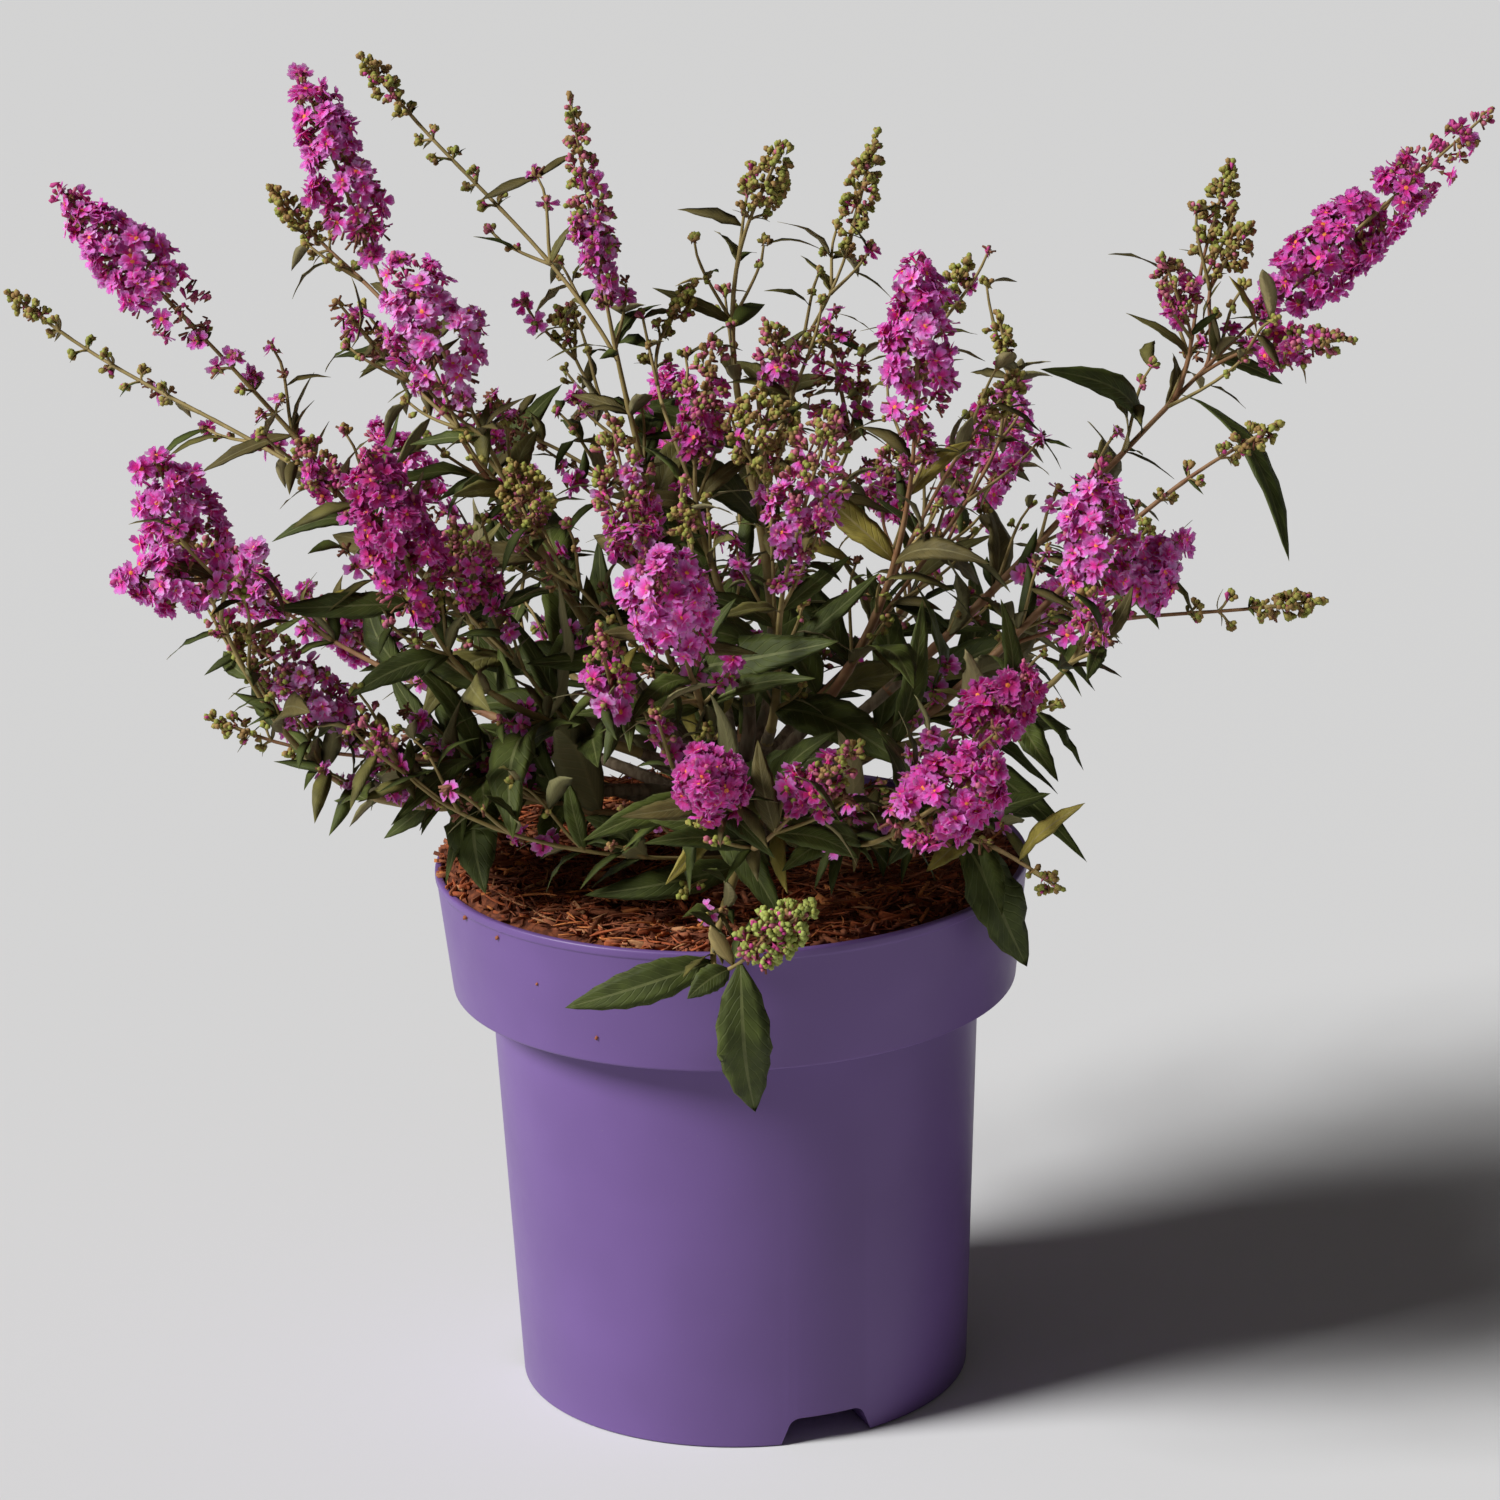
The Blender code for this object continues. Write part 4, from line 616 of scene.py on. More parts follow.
def bough_directions():
    """Directions in which the boughs leave the trunk, spread until their feet are apart."""
    wanted = []
    for spikes in SHOOTS.values():
        tip = np.array(spikes[0][1]) - (0, 0, MULCH_CENTRE_HEIGHT)
        wanted.append(unit(unit(tip) + (0, 0, BOUGH_LIFT)))
    wanted = np.array(wanted)
    for _ in range(SPREAD_ROUNDS):
        feet = np.array([trunk_point(n) for n in wanted])
        push = np.zeros_like(wanted)
        for i in range(len(wanted)):
            apart = feet[i] - feet
            distance = np.linalg.norm(apart, axis=1)
            near = (distance < BOUGH_SPACING) & (distance > 0)
            for j in np.nonzero(near)[0]:
                push[i] += apart[j] / distance[j] * (1 - distance[j] / BOUGH_SPACING)
        wanted = np.array([unit(n + SPREAD_STEP * p) for n, p in zip(wanted, push)])
        wanted[:, 2] = np.maximum(wanted[:, 2], BOUGH_LEAST_RISE)
    return [unit(n) for n in wanted]


def too_near(points, radius, others, skip):
    """True if a line of this radius comes too near to one of the other round pieces."""
    s = lengths_along(points)
    mine = points[s >= skip]
    for line, thick in others:
        gap = np.linalg.norm(mine[:, None] - line[None], axis=2) - thick[None]
        if gap.min() < radius + STEM_CLEARANCE:
            return True
    return False


def bowed(points, bow):
    """A line pushed sideways, most in its middle."""
    t = np.linspace(0, 1, len(points))[:, None]
    return points + np.sin(np.pi * t) ** 2 * bow


def clear_line(points, radius, others, skip):
    """The line, bent aside by the least bow that keeps it clear of the others."""
    chord = unit(points[-1] - points[0])
    first = across(chord)
    for size in BOWS:
        for k in range(BOW_TURNS):
            bow = size * turned(first, chord, k * math.tau / BOW_TURNS)
            trial = bowed(points, bow)
            if not too_near(trial, radius, others, skip):
                return trial
            if size == 0.0:
                break
    return points


def fine(points, radii):
    """A line and its radii, sampled more finely for distance tests."""
    s = lengths_along(points)
    at = np.linspace(0, s[-1], max(2, int(s[-1] / TEST_STEP)))
    line = np.stack([np.interp(at, s, points[:, k]) for k in range(3)], axis=1)
    return line, np.interp(at, s, radii)


def spike_from_row(row):
    """A flower spike as a dictionary, with its foot worked out."""
    kind, tip, lean, turn, length, radius, loose = row
    along = direction(lean, turn)
    tip = np.array(tip)
    return {"kind": kind, "tip": tip, "foot": tip - along * length, "along": along,
            "length": length, "radius": radius, "loose": loose}


def spike_for_tests(spike):
    """A spike as a line and its radii, for distance tests."""
    first, last = SPIKE_TESTED
    foot = spike["foot"] + spike["along"] * spike["radius"] * SPIKE_TESTED_FROM
    return fine(np.array([foot, spike["tip"]]), spike["radius"] * np.array([first, last]))


def side_radii(side):
    """Radii along a side twig."""
    return np.linspace(SIDE_ROOT_RADIUS, STEM_TIP_RADIUS, len(side))


def grow_skeleton():
    """Every shoot with its main stem, side twigs and spikes, and the space they take."""
    shoots = []
    for (name, rows), start in zip(SHOOTS.items(), bough_directions()):
        spikes = [spike_from_row(row) for row in rows]
        shoots.append({"name": name, "start": start, "spikes": spikes, "sides": []})
    taken = {}
    for shoot in shoots:
        taken[shoot["name"]] = [spike_for_tests(spike) for spike in shoot["spikes"]]
    for shoot in shoots:
        others = [x for name, xs in taken.items() if name != shoot["name"] for x in xs]
        main = shoot["spikes"][0]
        root = trunk_point(shoot["start"], GAP)
        reach = np.linalg.norm(main["foot"] - root)
        line = bezier(root, root + shoot["start"] * reach * MAIN_HANDLES[0],
                      main["foot"] - main["along"] * reach * MAIN_HANDLES[1], main["foot"],
                      STEM_SAMPLES)
        line = clear_line(line, BOUGH_ROOT_RADIUS, others, MAIN_ROOT_FREE)
        shoot["main"] = line
        shoot["radii"] = np.linspace(BOUGH_ROOT_RADIUS, STEM_TIP_RADIUS, len(line))
        taken[shoot["name"]].append(fine(line, shoot["radii"]))
    for shoot in shoots:
        others = [x for name, xs in taken.items() if name != shoot["name"] for x in xs]
        for spike in shoot["spikes"][1:]:
            side = side_twig(shoot, spike, others)
            shoot["sides"].append(side)
            taken[shoot["name"]].append(fine(side, side_radii(side)))
    return shoots, taken


def side_twig(shoot, spike, others):
    """The line of a side twig, from the best place on the main stem to a spike's foot."""
    line = shoot["main"]
    total = lengths_along(line)[-1]
    best = None
    for share in np.linspace(SIDE_PLACES_FROM, SIDE_PLACES_TO, SIDE_PLACES):
        place, tangent = at_length(line, share * total)
        way = spike["foot"] - place
        angle = math.degrees(math.acos(np.clip(np.dot(tangent, unit(way)), -1, 1)))
        cost = abs(angle - SIDE_ANGLE) + SIDE_REACH_COST * np.linalg.norm(way)
        if best is None or cost < best[0]:
            best = (cost, place, tangent, way)
    _, place, tangent, way = best
    reach = np.linalg.norm(way)
    set_off = unit(tangent + unit(way) * SIDE_SET_OFF)
    side = bezier(place, place + set_off * reach * SIDE_HANDLES[0],
                  spike["foot"] - spike["along"] * reach * SIDE_HANDLES[1], spike["foot"],
                  SIDE_SAMPLES)
    return clear_line(side, SIDE_ROOT_RADIUS, others, SIDE_ROOT_FREE)


def leaf_pairs(line, start, end, step, rng):
    """Leaves in crossed pairs along a line, between two distances from its start."""
    leaves = []
    spin = rng.uniform(0, math.pi)
    where = end
    while where > start:
        place, tangent = at_length(line, where)
        share = (end - where) / max(end - start, 1e-6)
        grown = min(1.0, share * LEAF_SIZE_RISE)
        size = LEAF_LENGTHS[0] + (LEAF_LENGTHS[1] - LEAF_LENGTHS[0]) * grown
        for side in (0, 1):
            out = turned(across(tangent), tangent, spin + side * math.pi)
            angle = math.radians(LEAF_ANGLE + rng.uniform(-LEAF_ANGLE_SPREAD, LEAF_ANGLE_SPREAD))
            length = size * rng.uniform(*UNEVEN)
            way = tangent * math.cos(angle) + out * math.sin(angle)
            way = unit(way - np.array([0, 0, LEAF_DROOP * rng.uniform(0.5, 1.5)]))
            offset = tangent * (LEAF_PAIR_OFFSET if side else -LEAF_PAIR_OFFSET)
            leaves.append({"root": place + offset, "tip": place + offset + way * length,
                           "stem": tangent, "lone": False,
                           "width": length * LEAF_WIDTH_SHARE * rng.uniform(0.9, 1.1),
                           "roll": math.radians(rng.uniform(-LEAF_ROLL, LEAF_ROLL))})
        spin += math.pi / 2 + rng.uniform(-LEAF_PAIR_TURN, LEAF_PAIR_TURN)
        where -= step * rng.uniform(*UNEVEN)
    return leaves


def in_crown(tip):
    """True if a leaf's tip is above the underside of the crown."""
    radii, heights = zip(*CROWN_UNDERSIDE)
    return tip[2] > np.interp(math.hypot(tip[0], tip[1]), radii, heights)


def tried_again(leaf, count):
    """The same leaf set off further round its stem, a little shorter each time."""
    way = (leaf["tip"] - leaf["root"]) * (1 - LEAF_TRY_LOSS * count)
    swing = math.radians(LEAF_TRY_SWING) * ((count + 1) // 2) * (-1 if count % 2 else 1)
    moved = dict(leaf)
    moved["tip"] = leaf["root"] + turned(way, leaf["stem"], swing)
    return moved


def grow_leaves(shoot, rng):
    """Every leaf that the rule asks for on a shoot's mass, the lone ones first."""
    line = shoot["main"]
    total = lengths_along(line)[-1]
    leaves = []
    for name, share, tip, width in LONE_LEAVES:
        if name == shoot["name"]:
            place, tangent = at_length(line, share * total)
            leaves.append({"root": place, "tip": np.array(tip), "width": width, "roll": 0.0,
                           "stem": tangent, "lone": True})
    foot, end = LEAF_FREE_MAIN
    step = LEAFY_NODE_STEP if shoot["spikes"][0]["kind"] == "leafy" else LEAF_NODE_STEP
    leaves += leaf_pairs(line, total * BOUGH_SHARE + foot,
                         total - shoot["spikes"][0]["loose"] - end, step, rng)
    foot, end = LEAF_FREE_SIDE
    for side, spike in zip(shoot["sides"], shoot["spikes"][1:]):
        long = lengths_along(side)[-1]
        pairs = leaf_pairs(side, foot, long - spike["loose"] - end, step, rng)
        leaves += [dict(leaf, small=True) for leaf in pairs]
    return leaves


def is_clear(leaf, taken):
    """True if a leaf's middle line keeps clear of the stems and spikes."""
    line = leaf["root"] + (leaf["tip"] - leaf["root"]) * LEAF_TESTED
    low = line.min(axis=0) - LEAF_SEARCH
    high = line.max(axis=0) + LEAF_SEARCH
    near = np.all((taken[0] > low) & (taken[0] < high), axis=1)
    if not near.any():
        return True
    gap = np.linalg.norm(line[:, None] - taken[0][near][None], axis=2) - taken[1][near][None]
    return gap.min() > LEAF_SPACE


def settled(leaf, taken):
    """A leaf at the first of its places that is free, or None."""
    for count in range(1 if leaf["lone"] else LEAF_TRIES):
        trial = tried_again(leaf, count)
        if leaf["lone"] or (in_crown(trial["tip"]) and is_clear(trial, taken)):
            return trial
    return None


# Small things in their hundreds

class Harvest:
    """Small things of one kind, gathered as arrays and joined into a few pieces."""

    def __init__(self, name, materials, slot, stands_for, smooth=True):
        self.name = name
        self.materials = materials
        self.slot = slot
        self.stands_for = stands_for
        self.smooth = smooth
        self.batches = []

    def add(self, points, corners, slots, uv=None):
        """Things of one shape: their points (N, P, 3), its triangles and its slots (N, F)."""
        if len(points):
            slots = np.broadcast_to(slots, (len(points), len(corners)))
            self.batches.append((points, corners, slots, uv))

    def join(self):
        """The pieces, each under the limit of triangles."""
        made = []
        rows = []
        count = 0
        for points, corners, slots, uv in self.batches:
            start = 0
            while start < len(points):
                room = (PIECE_LIMIT - count) // len(corners)
                if room < 1:
                    made.append(self.piece(rows, len(made) + 1))
                    rows = []
                    count = 0
                    continue
                stop = min(len(points), start + room)
                rows.append((points[start:stop], corners, slots[start:stop], uv))
                count += (stop - start) * len(corners)
                start = stop
        made.append(self.piece(rows, len(made) + 1))
        return made

    def piece(self, rows, number):
        """One mesh of several batches."""
        points = []
        corners = []
        slots = []
        maps = []
        total = 0
        for places, triangles, row_slots, uv in rows:
            count, size = places.shape[:2]
            shifts = total + size * np.arange(count)
            corners.append((triangles[None] + shifts[:, None, None]).reshape(-1, 3))
            points.append(places.reshape(-1, 3))
            slots.append(row_slots.reshape(-1))
            uv = np.zeros((size, 2)) if uv is None else uv
            maps.append(np.tile(uv[triangles].reshape(-1, 2), (count, 1)))
            total += count * size
        mesh = mesh_of(f"{self.name}_{number}", np.concatenate(points), np.concatenate(corners),
                       np.concatenate(slots), np.concatenate(maps))
        if not self.smooth:
            mesh.shade_flat()
        return show(mesh, self.materials, self.stands_for)


def mesh_of(name, points, corners, slots, uv):
    """A smooth mesh of triangles from arrays."""
    mesh = bpy.data.meshes.new(name)
    mesh.vertices.add(len(points))
    mesh.vertices.foreach_set("co", np.ascontiguousarray(points, np.float32).ravel())
    mesh.loops.add(corners.size)
    mesh.loops.foreach_set("vertex_index", corners.astype(np.int32).ravel())
    mesh.polygons.add(len(corners))
    mesh.polygons.foreach_set("loop_start", np.arange(0, corners.size, 3, dtype=np.int32))
    mesh.update(calc_edges=True)
    mesh.polygons.foreach_set("material_index", slots.astype(np.int32))
    mesh.shade_smooth()
    layer = mesh.uv_layers.new(name="UVMap")
    layer.data.foreach_set("uv", np.ascontiguousarray(uv, np.float32).ravel())
    return mesh


def show(mesh, materials, stands_for):
    """An object of a mesh that rides on the part and stands for some of its nodes."""
    thing = bpy.data.objects.new(mesh.name, mesh)
    bpy.context.scene.collection.objects.link(thing)
    for material in materials:
        mesh.materials.append(material)
    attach(thing, "root")
    if stands_for:
        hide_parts(*stands_for)
    return thing


def placed(shape, places, ways, spins, sizes):
    """A shape set at many places: its Z along each way, turned by a spin, sized by axis."""
    z = ways / np.linalg.norm(ways, axis=1, keepdims=True)
    helper = np.where(np.abs(z[:, 2:3]) < 0.9, [[0.0, 0.0, 1.0]], [[1.0, 0.0, 0.0]])
    x = np.cross(helper, z)
    x /= np.linalg.norm(x, axis=1, keepdims=True)
    y = np.cross(z, x)
    c = np.cos(spins)[:, None]
    s = np.sin(spins)[:, None]
    x, y = x * c + y * s, y * c - x * s
    p = shape[None] * sizes[:, None, :]
    return (places[:, None] + p[..., 0:1] * x[:, None] + p[..., 1:2] * y[:, None]
            + p[..., 2:3] * z[:, None])


class Scatter:
    """Places for one shape of a small thing, with the slots of its faces."""

    def __init__(self, points, corners, parts):
        self.points = np.array(points, float)
        self.corners = np.array(corners)
        self.parts = np.array(parts)
        self.rows = []

    def put(self, place, way, spin, size, tint):
        """One more of them. A tint shifts the slot of every part that isn't under 0."""
        size = (size, size, size) if np.isscalar(size) else size
        self.rows.append((place, way, spin, size, tint))

    def gather(self, harvest, uv=None):
        """Adds them all to a harvest. Parts under 0 keep their own slot."""
        place, way, spin, size, tint = (np.array(x, float) for x in zip(*self.rows))
        points = placed(self.points, place, way, spin, size)
        tint = tint.astype(int)
        own = self.parts[None]
        slots = np.where(own < 0, -own - 1, own + tint[:, None])
        harvest.add(points, self.corners, slots, uv)


def spun(profile, sides):
    """A closed bmesh turned from (radius, height) points that start and end on the axis."""
    bm = bmesh.new()
    line = [bm.verts.new((radius, 0, height)) for radius, height in profile]
    edges = [bm.edges.new(ends) for ends in zip(line, line[1:])]
    bmesh.ops.spin(bm, geom=line + edges, cent=(0, 0, 0), axis=(0, 0, 1), angle=math.tau,
                   steps=sides, use_merge=True)
    bmesh.ops.remove_doubles(bm, verts=bm.verts, dist=1e-6)
    return bm


def mesh_from(bm, name):
    """A mesh of a finished bmesh, its faces outwards."""
    bmesh.ops.recalc_face_normals(bm, faces=bm.faces)
    mesh = bpy.data.meshes.new(name)
    bm.to_mesh(mesh)
    bm.free()
    return mesh


def ring_shape(rings, sides, wobble=0.0, seed=0):
    """Points and triangles of a small turned shape of (height, radius) rings, a bit uneven."""
    rng = random.Random(seed)
    uneven = [[1 + rng.uniform(-wobble, wobble) for _ in range(sides)] for _ in rings[1:-1]]
    bm = spun([(radius, height) for height, radius in rings], sides)
    for v in bm.verts:
        radius = math.hypot(v.co.x, v.co.y)
        if radius > 0.001:
            gaps = [abs(height - v.co.z) + abs(wide - radius) for height, wide in rings[1:-1]]
            row = uneven[gaps.index(min(gaps))]
            factor = row[round(math.atan2(v.co.y, v.co.x) * sides / math.tau) % sides]
            v.co = (v.co.x * factor, v.co.y * factor, v.co.z)
    bmesh.ops.recalc_face_normals(bm, faces=bm.faces)
    bmesh.ops.triangulate(bm, faces=bm.faces)
    bm.verts.index_update()
    points = [tuple(v.co) for v in bm.verts]
    corners = [tuple(v.index for v in face.verts) for face in bm.faces]
    bm.free()
    return points, corners


def joined(shapes):
    """Points, triangles and parts of a shape made of several, each given with its part."""
    points = []
    corners = []
    parts = []
    for (more, faces), part in shapes:
        base = len(points)
        points += more
        corners += [tuple(base + i for i in face) for face in faces]
        parts += [part] * len(faces)
    return points, corners, parts


def flower_shape(lift, crinkle, seed):
    """A flower of four petals with its eye, its tube and its calyx, facing along Z."""
    rng = random.Random(seed)
    count = len(PETAL_OUTLINE)
    faces = []
    for i in range(count):
        n = (i + 1) % count
        faces += [(i, n, count), (n, i, count + 1)]
    shapes = []
    for k in range(4):
        turn = math.tau * k / 4 + rng.uniform(-PETAL_UNEVEN, PETAL_UNEVEN)
        size = rng.uniform(0.9, 1.08)
        tilt = lift + rng.uniform(-PETAL_UNEVEN, PETAL_UNEVEN)
        ring = []
        for x, y in PETAL_OUTLINE:
            x *= size
            height = tilt * x * x + rng.uniform(-crinkle, crinkle) * x
            ring.append((x, y * rng.uniform(0.9, 1.1), height))
        middle = PETAL_MIDDLE * size
        height = tilt * 0.30 * size + rng.uniform(-0.07, 0.02)
        ring += [(middle, 0.0, height), (middle, 0.0, height - PETAL_THICKNESS)]
        c = math.cos(turn)
        s = math.sin(turn)
        shapes.append((([(x * c - y * s, x * s + y * c, z) for x, y, z in ring], faces), FIRST_TINT))
    shapes.append((ring_shape(EYE_RINGS, 5), EYE_SLOT))
    shapes.append((ring_shape(TUBE_RINGS, 5), FIRST_TINT + 1))
    shapes.append((ring_shape(CALYX_RINGS, 5), CALYX_SLOT))
    return joined(shapes)


# Leaf blades, all points of a batch at once

class Blades:
    """Leaves of one mesh: rows along the blade, columns across it, and an underside."""

    def __init__(self, rows, columns, toothed, fullness):
        self.v = np.linspace(0, 1, rows)
        self.u = np.array(columns, float)
        self.toothed = toothed
        self.fullness = fullness
        self.leaves = []

    def put(self, root, tip, width, roll, look, rng):
        """One more leaf, with its own bends. Its look is its colour's number."""
        bends = tuple(rng.uniform(*limits) for limits in BLADE_BENDS)
        self.leaves.append((root, tip, width, roll, look, bends))

    def gather(self, harvest):
        """Adds the leaves to a harvest. A leaf has three slots: above, rib and below."""
        root, tip, width, roll, look, bend = (np.array(x) for x in zip(*self.leaves))
        length = np.linalg.norm(tip - root, axis=1)
        along = (tip - root) / length[:, None]
        side = np.cross(along, [0.0, 0.0, 1.0])
        steep = np.linalg.norm(side, axis=1) < 0.15
        side[steep] = np.cross(along[steep], [1.0, 0.0, 0.0])
        side /= np.linalg.norm(side, axis=1, keepdims=True)
        up = np.cross(side, along)
        c = np.cos(roll)[:, None]
        s = np.sin(roll)[:, None]
        side, up = side * c - up * s, up * c + side * s
        v = self.v[None, :, None]
        u = self.u[None, None, :]
        arch, fold, twist, sickle, phase, wave = (bend[:, k, None, None] for k in range(6))
        outline = np.sin(math.pi * v ** BLADE_WIDEST) ** self.fullness
        outline = outline + BLADE_FOOT * (1 - v) ** 3
        if self.toothed:
            tooth = np.where(np.arange(len(self.v)) % 2 == 0, *BLADE_TEETH)[None, :, None]
            outline = outline * np.where(np.abs(u) > 0.9, tooth, 1.0)
        half = (width / 2)[:, None, None] * outline
        span = length[:, None, None]
        out = np.broadcast_to(u * half, (len(root), len(self.v), len(self.u)))
        hump = LEAF_ARCH * arch * np.sin(math.pi * v ** 0.85) * span
        rise = hump + np.abs(out) * fold * (1 - 0.6 * u * u)
        rise = rise + wave * np.abs(u) * half * np.sin(v * BLADE_WAVES + phase)
        lean = twist * (v - 0.4)
        flat = out * np.cos(lean) + sickle * span * np.sin(math.pi * v)
        rise = rise + out * np.sin(lean)
        top = (root[:, None, None] + along[:, None, None] * (v * span)[..., None]
               + side[:, None, None] * flat[..., None] + up[:, None, None] * rise[..., None])
        thick = BLADE_THICKNESS + BLADE_THICKENING * half
        under = (top - up[:, None, None] * thick[..., None])[:, :, 1:-1]
        count, rows, columns = top.shape[:3]
        points = np.concatenate([top.reshape(count, -1, 3), under.reshape(count, -1, 3)], axis=1)
        corners, kinds = blade_faces(rows, columns)
        slots = look[:, None] + LEAF_KINDS * np.array(kinds)[None]
        uv_top = np.stack(np.broadcast_arrays((self.u[None] + 1) / 2, self.v[:, None]), axis=-1)
        uv = np.concatenate([uv_top.reshape(-1, 2), uv_top[:, 1:-1].reshape(-1, 2)])
        harvest.add(points, np.array(corners), slots, uv)


def blade_faces(rows, columns):
    """Triangles of a blade and the kind of each: 0 above, 1 rib, 2 below."""
    inner = columns - 2
    corners = []
    kinds = []

    def low(i, j):
        if j in (0, columns - 1):
            return i * columns + j
        return rows * columns + i * inner + j - 1

    middle = (columns - 1) // 2 if columns % 2 == 0 else None
    for i in range(rows - 1):
        for j in range(columns - 1):
            a, b = i * columns + j, i * columns + j + 1
            c, d = b + columns, a + columns
            kind = 1 if j == middle else 0
            corners += [(a, b, c), (a, c, d)]
            kinds += [kind, kind]
            a, b, c, d = low(i, j), low(i, j + 1), low(i + 1, j + 1), low(i + 1, j)
            corners += [(a, c, b), (a, d, c)]
            kinds += [2, 2]
    for i in (0, rows - 1):
        for j in range(columns - 1):
            a, b, c, d = i * columns + j, i * columns + j + 1, low(i, j + 1), low(i, j)
            ends = [(a, c, b), (a, d, c)] if i == 0 else [(a, b, c), (a, c, d)]
            for face in ends:
                if len(set(face)) == 3:
                    corners.append(face)
                    kinds.append(2)
    return corners, kinds


# Stems, boughs and trunk

def frames(points):
    """Two unit vectors across a line at each point, with no twist between them."""
    tangents = [unit(t) for t in np.gradient(points, axis=0)]
    u = across(tangents[0])
    pairs = []
    for t in tangents:
        u = unit(u - t * np.dot(u, t))
        pairs.append((u, np.cross(t, u)))
    return pairs


def tube(points, radii, sides, relief=None):
    """Points and triangles of a closed tube. Relief is a factor on the radius of each point."""
    pairs = frames(points)
    rings = len(points)
    angles = np.arange(sides) * math.tau / sides
    u = np.array([p[0] for p in pairs])[:, None]
    v = np.array([p[1] for p in pairs])[:, None]
    factor = np.ones((rings, sides)) if relief is None else relief
    reach = (np.asarray(radii)[:, None] * factor)[..., None]
    ring = points[:, None] + (u * np.cos(angles)[None, :, None]
                              + v * np.sin(angles)[None, :, None]) * reach
    corners = []
    for i in range(rings - 1):
        for k in range(sides):
            n = (k + 1) % sides
            a, b = i * sides + k, i * sides + n
            corners += [(a, b, b + sides), (a, b + sides, a + sides)]
    foot = rings * sides
    for k in range(sides):
        n = (k + 1) % sides
        corners.append((foot, n, k))
        corners.append((foot + 1, (rings - 1) * sides + k, (rings - 1) * sides + n))
    return np.concatenate([ring.reshape(-1, 3), points[:1], points[-1:]]), np.array(corners)


def resampled(points, radii, step):
    """A line and its radii at even steps."""
    s = lengths_along(points)
    count = max(3, int(s[-1] / step) + 1)
    at = np.linspace(0, s[-1], count)
    line = np.stack([np.interp(at, s, points[:, k]) for k in range(3)], axis=1)
    return line, np.interp(at, s, radii)


def add_stem(harvest, points, radii, kind, sides=6):
    """A green or woody stem with slightly thicker nodes."""
    line, thick = resampled(points, radii, STEM_STEP)
    s = lengths_along(line)
    swell = 1 + NODE_SWELL * np.maximum(0, np.cos(s / LEAF_NODE_STEP * math.tau)) ** 8
    places, corners = tube(line, thick * swell, sides)
    harvest.add(places[None], corners, np.full((1, len(corners)), kind))


def bark_factor(rings, sides, seed):
    """Relief of bark: long ridges that run up the stem, broken here and there."""
    factor = np.ones((rings, sides))
    for i in range(rings):
        for k in range(sides):
            a = math.tau * k / sides
            spot = Vector((math.cos(a) * BOUGH_RIDGES, math.sin(a) * BOUGH_RIDGES,
                           i * BARK_STRETCH + seed))
            ridge = 1 - abs(noise.noise(spot)) * 2
            factor[i, k] += BOUGH_RELIEF * (ridge + 0.5 * noise.noise(spot * BARK_GRAIN))
    return factor


def make_boughs(shoots):
    """The bare bark-covered foot of every shoot, one piece for each bough."""
    for number, shoot in enumerate(shoots):
        line, radii = resampled(shoot["main"], shoot["radii"], BOUGH_STEP)
        keep = lengths_along(line) <= BOUGH_SHARE * lengths_along(line)[-1] + BOUGH_STEP
        line = line[keep]
        radii = radii[keep] * np.linspace(1.0, STEM_SLIMNESS[0], keep.sum())
        line[0] -= shoot["start"] * BOUGH_SUNK
        relief = bark_factor(len(line), BOUGH_SIDES, number * 7.0)
        points, corners = tube(line, radii, BOUGH_SIDES, relief)
        mesh = mesh_of("bark_" + shoot["name"], points, corners, np.zeros(len(corners), int),
                       np.zeros((corners.size, 2)))
        show(mesh, [MATERIALS["bark"]], ["bough_" + shoot["name"]])


def make_trunk():
    """The woody stool in the middle of the pot, with ridged bark."""
    profile = []
    for t in np.linspace(0, 1, TRUNK_RINGS[0]):
        height = -TRUNK_SUNK + t * (TRUNK_NECK_HEIGHT + TRUNK_SUNK)
        flare = max(0.0, 1 - max(0.0, height) / TRUNK_NECK_HEIGHT) ** 2
        profile.append((TRUNK_NECK_RADIUS + (TRUNK_FOOT_RADIUS - TRUNK_NECK_RADIUS) * flare, height))
    for a in np.linspace(0, math.pi / 2, TRUNK_RINGS[1])[1:-1]:
        profile.append((TRUNK_NECK_RADIUS * math.cos(a),
                        TRUNK_NECK_HEIGHT + TRUNK_DOME_HEIGHT * math.sin(a)))
    bm = spun([(0, -TRUNK_SUNK), *profile, (0, TRUNK_NECK_HEIGHT + TRUNK_DOME_HEIGHT)],
              TRUNK_SIDES)
    around, up = TRUNK_RIDGES
    for v in bm.verts:
        height = v.co.z
        a = math.atan2(v.co.y, v.co.x)
        spot = Vector((math.cos(a) * around, math.sin(a) * around, height * up))
        ridge = 1 - abs(noise.noise(spot)) * 2.4
        r = math.hypot(v.co.x, v.co.y) * (0.95 + 0.06 * ridge + 0.03 * noise.noise(spot * 3.3))
        v.co = (r * math.cos(a) + TRUNK_LEAN * height, r * math.sin(a),
                MULCH_CENTRE_HEIGHT + height)
    mesh = mesh_from(bm, "trunk_bark")
    mesh.shade_smooth()
    show(mesh, [MATERIALS["bark"]], ["trunk"])


# Pot and mulch

def rounded(profile):
    """A closed profile of (radius, height, rounding), its corners replaced by arcs."""
    path = []
    count = len(profile)
    for i, (r, z, size) in enumerate(profile):
        here = Vector((r, z))
        if not size:
            path.append(here)
            continue
        before = Vector(profile[i - 1][:2]) - here
        after = Vector(profile[(i + 1) % count][:2]) - here
        start = here + before.normalized() * size
        end = here + after.normalized() * size
        for t in (0.0, 0.25, 0.5, 0.75, 1.0):
            path.append(start * (1 - t) ** 2 + here * (2 * t * (1 - t)) + end * t * t)
    return path


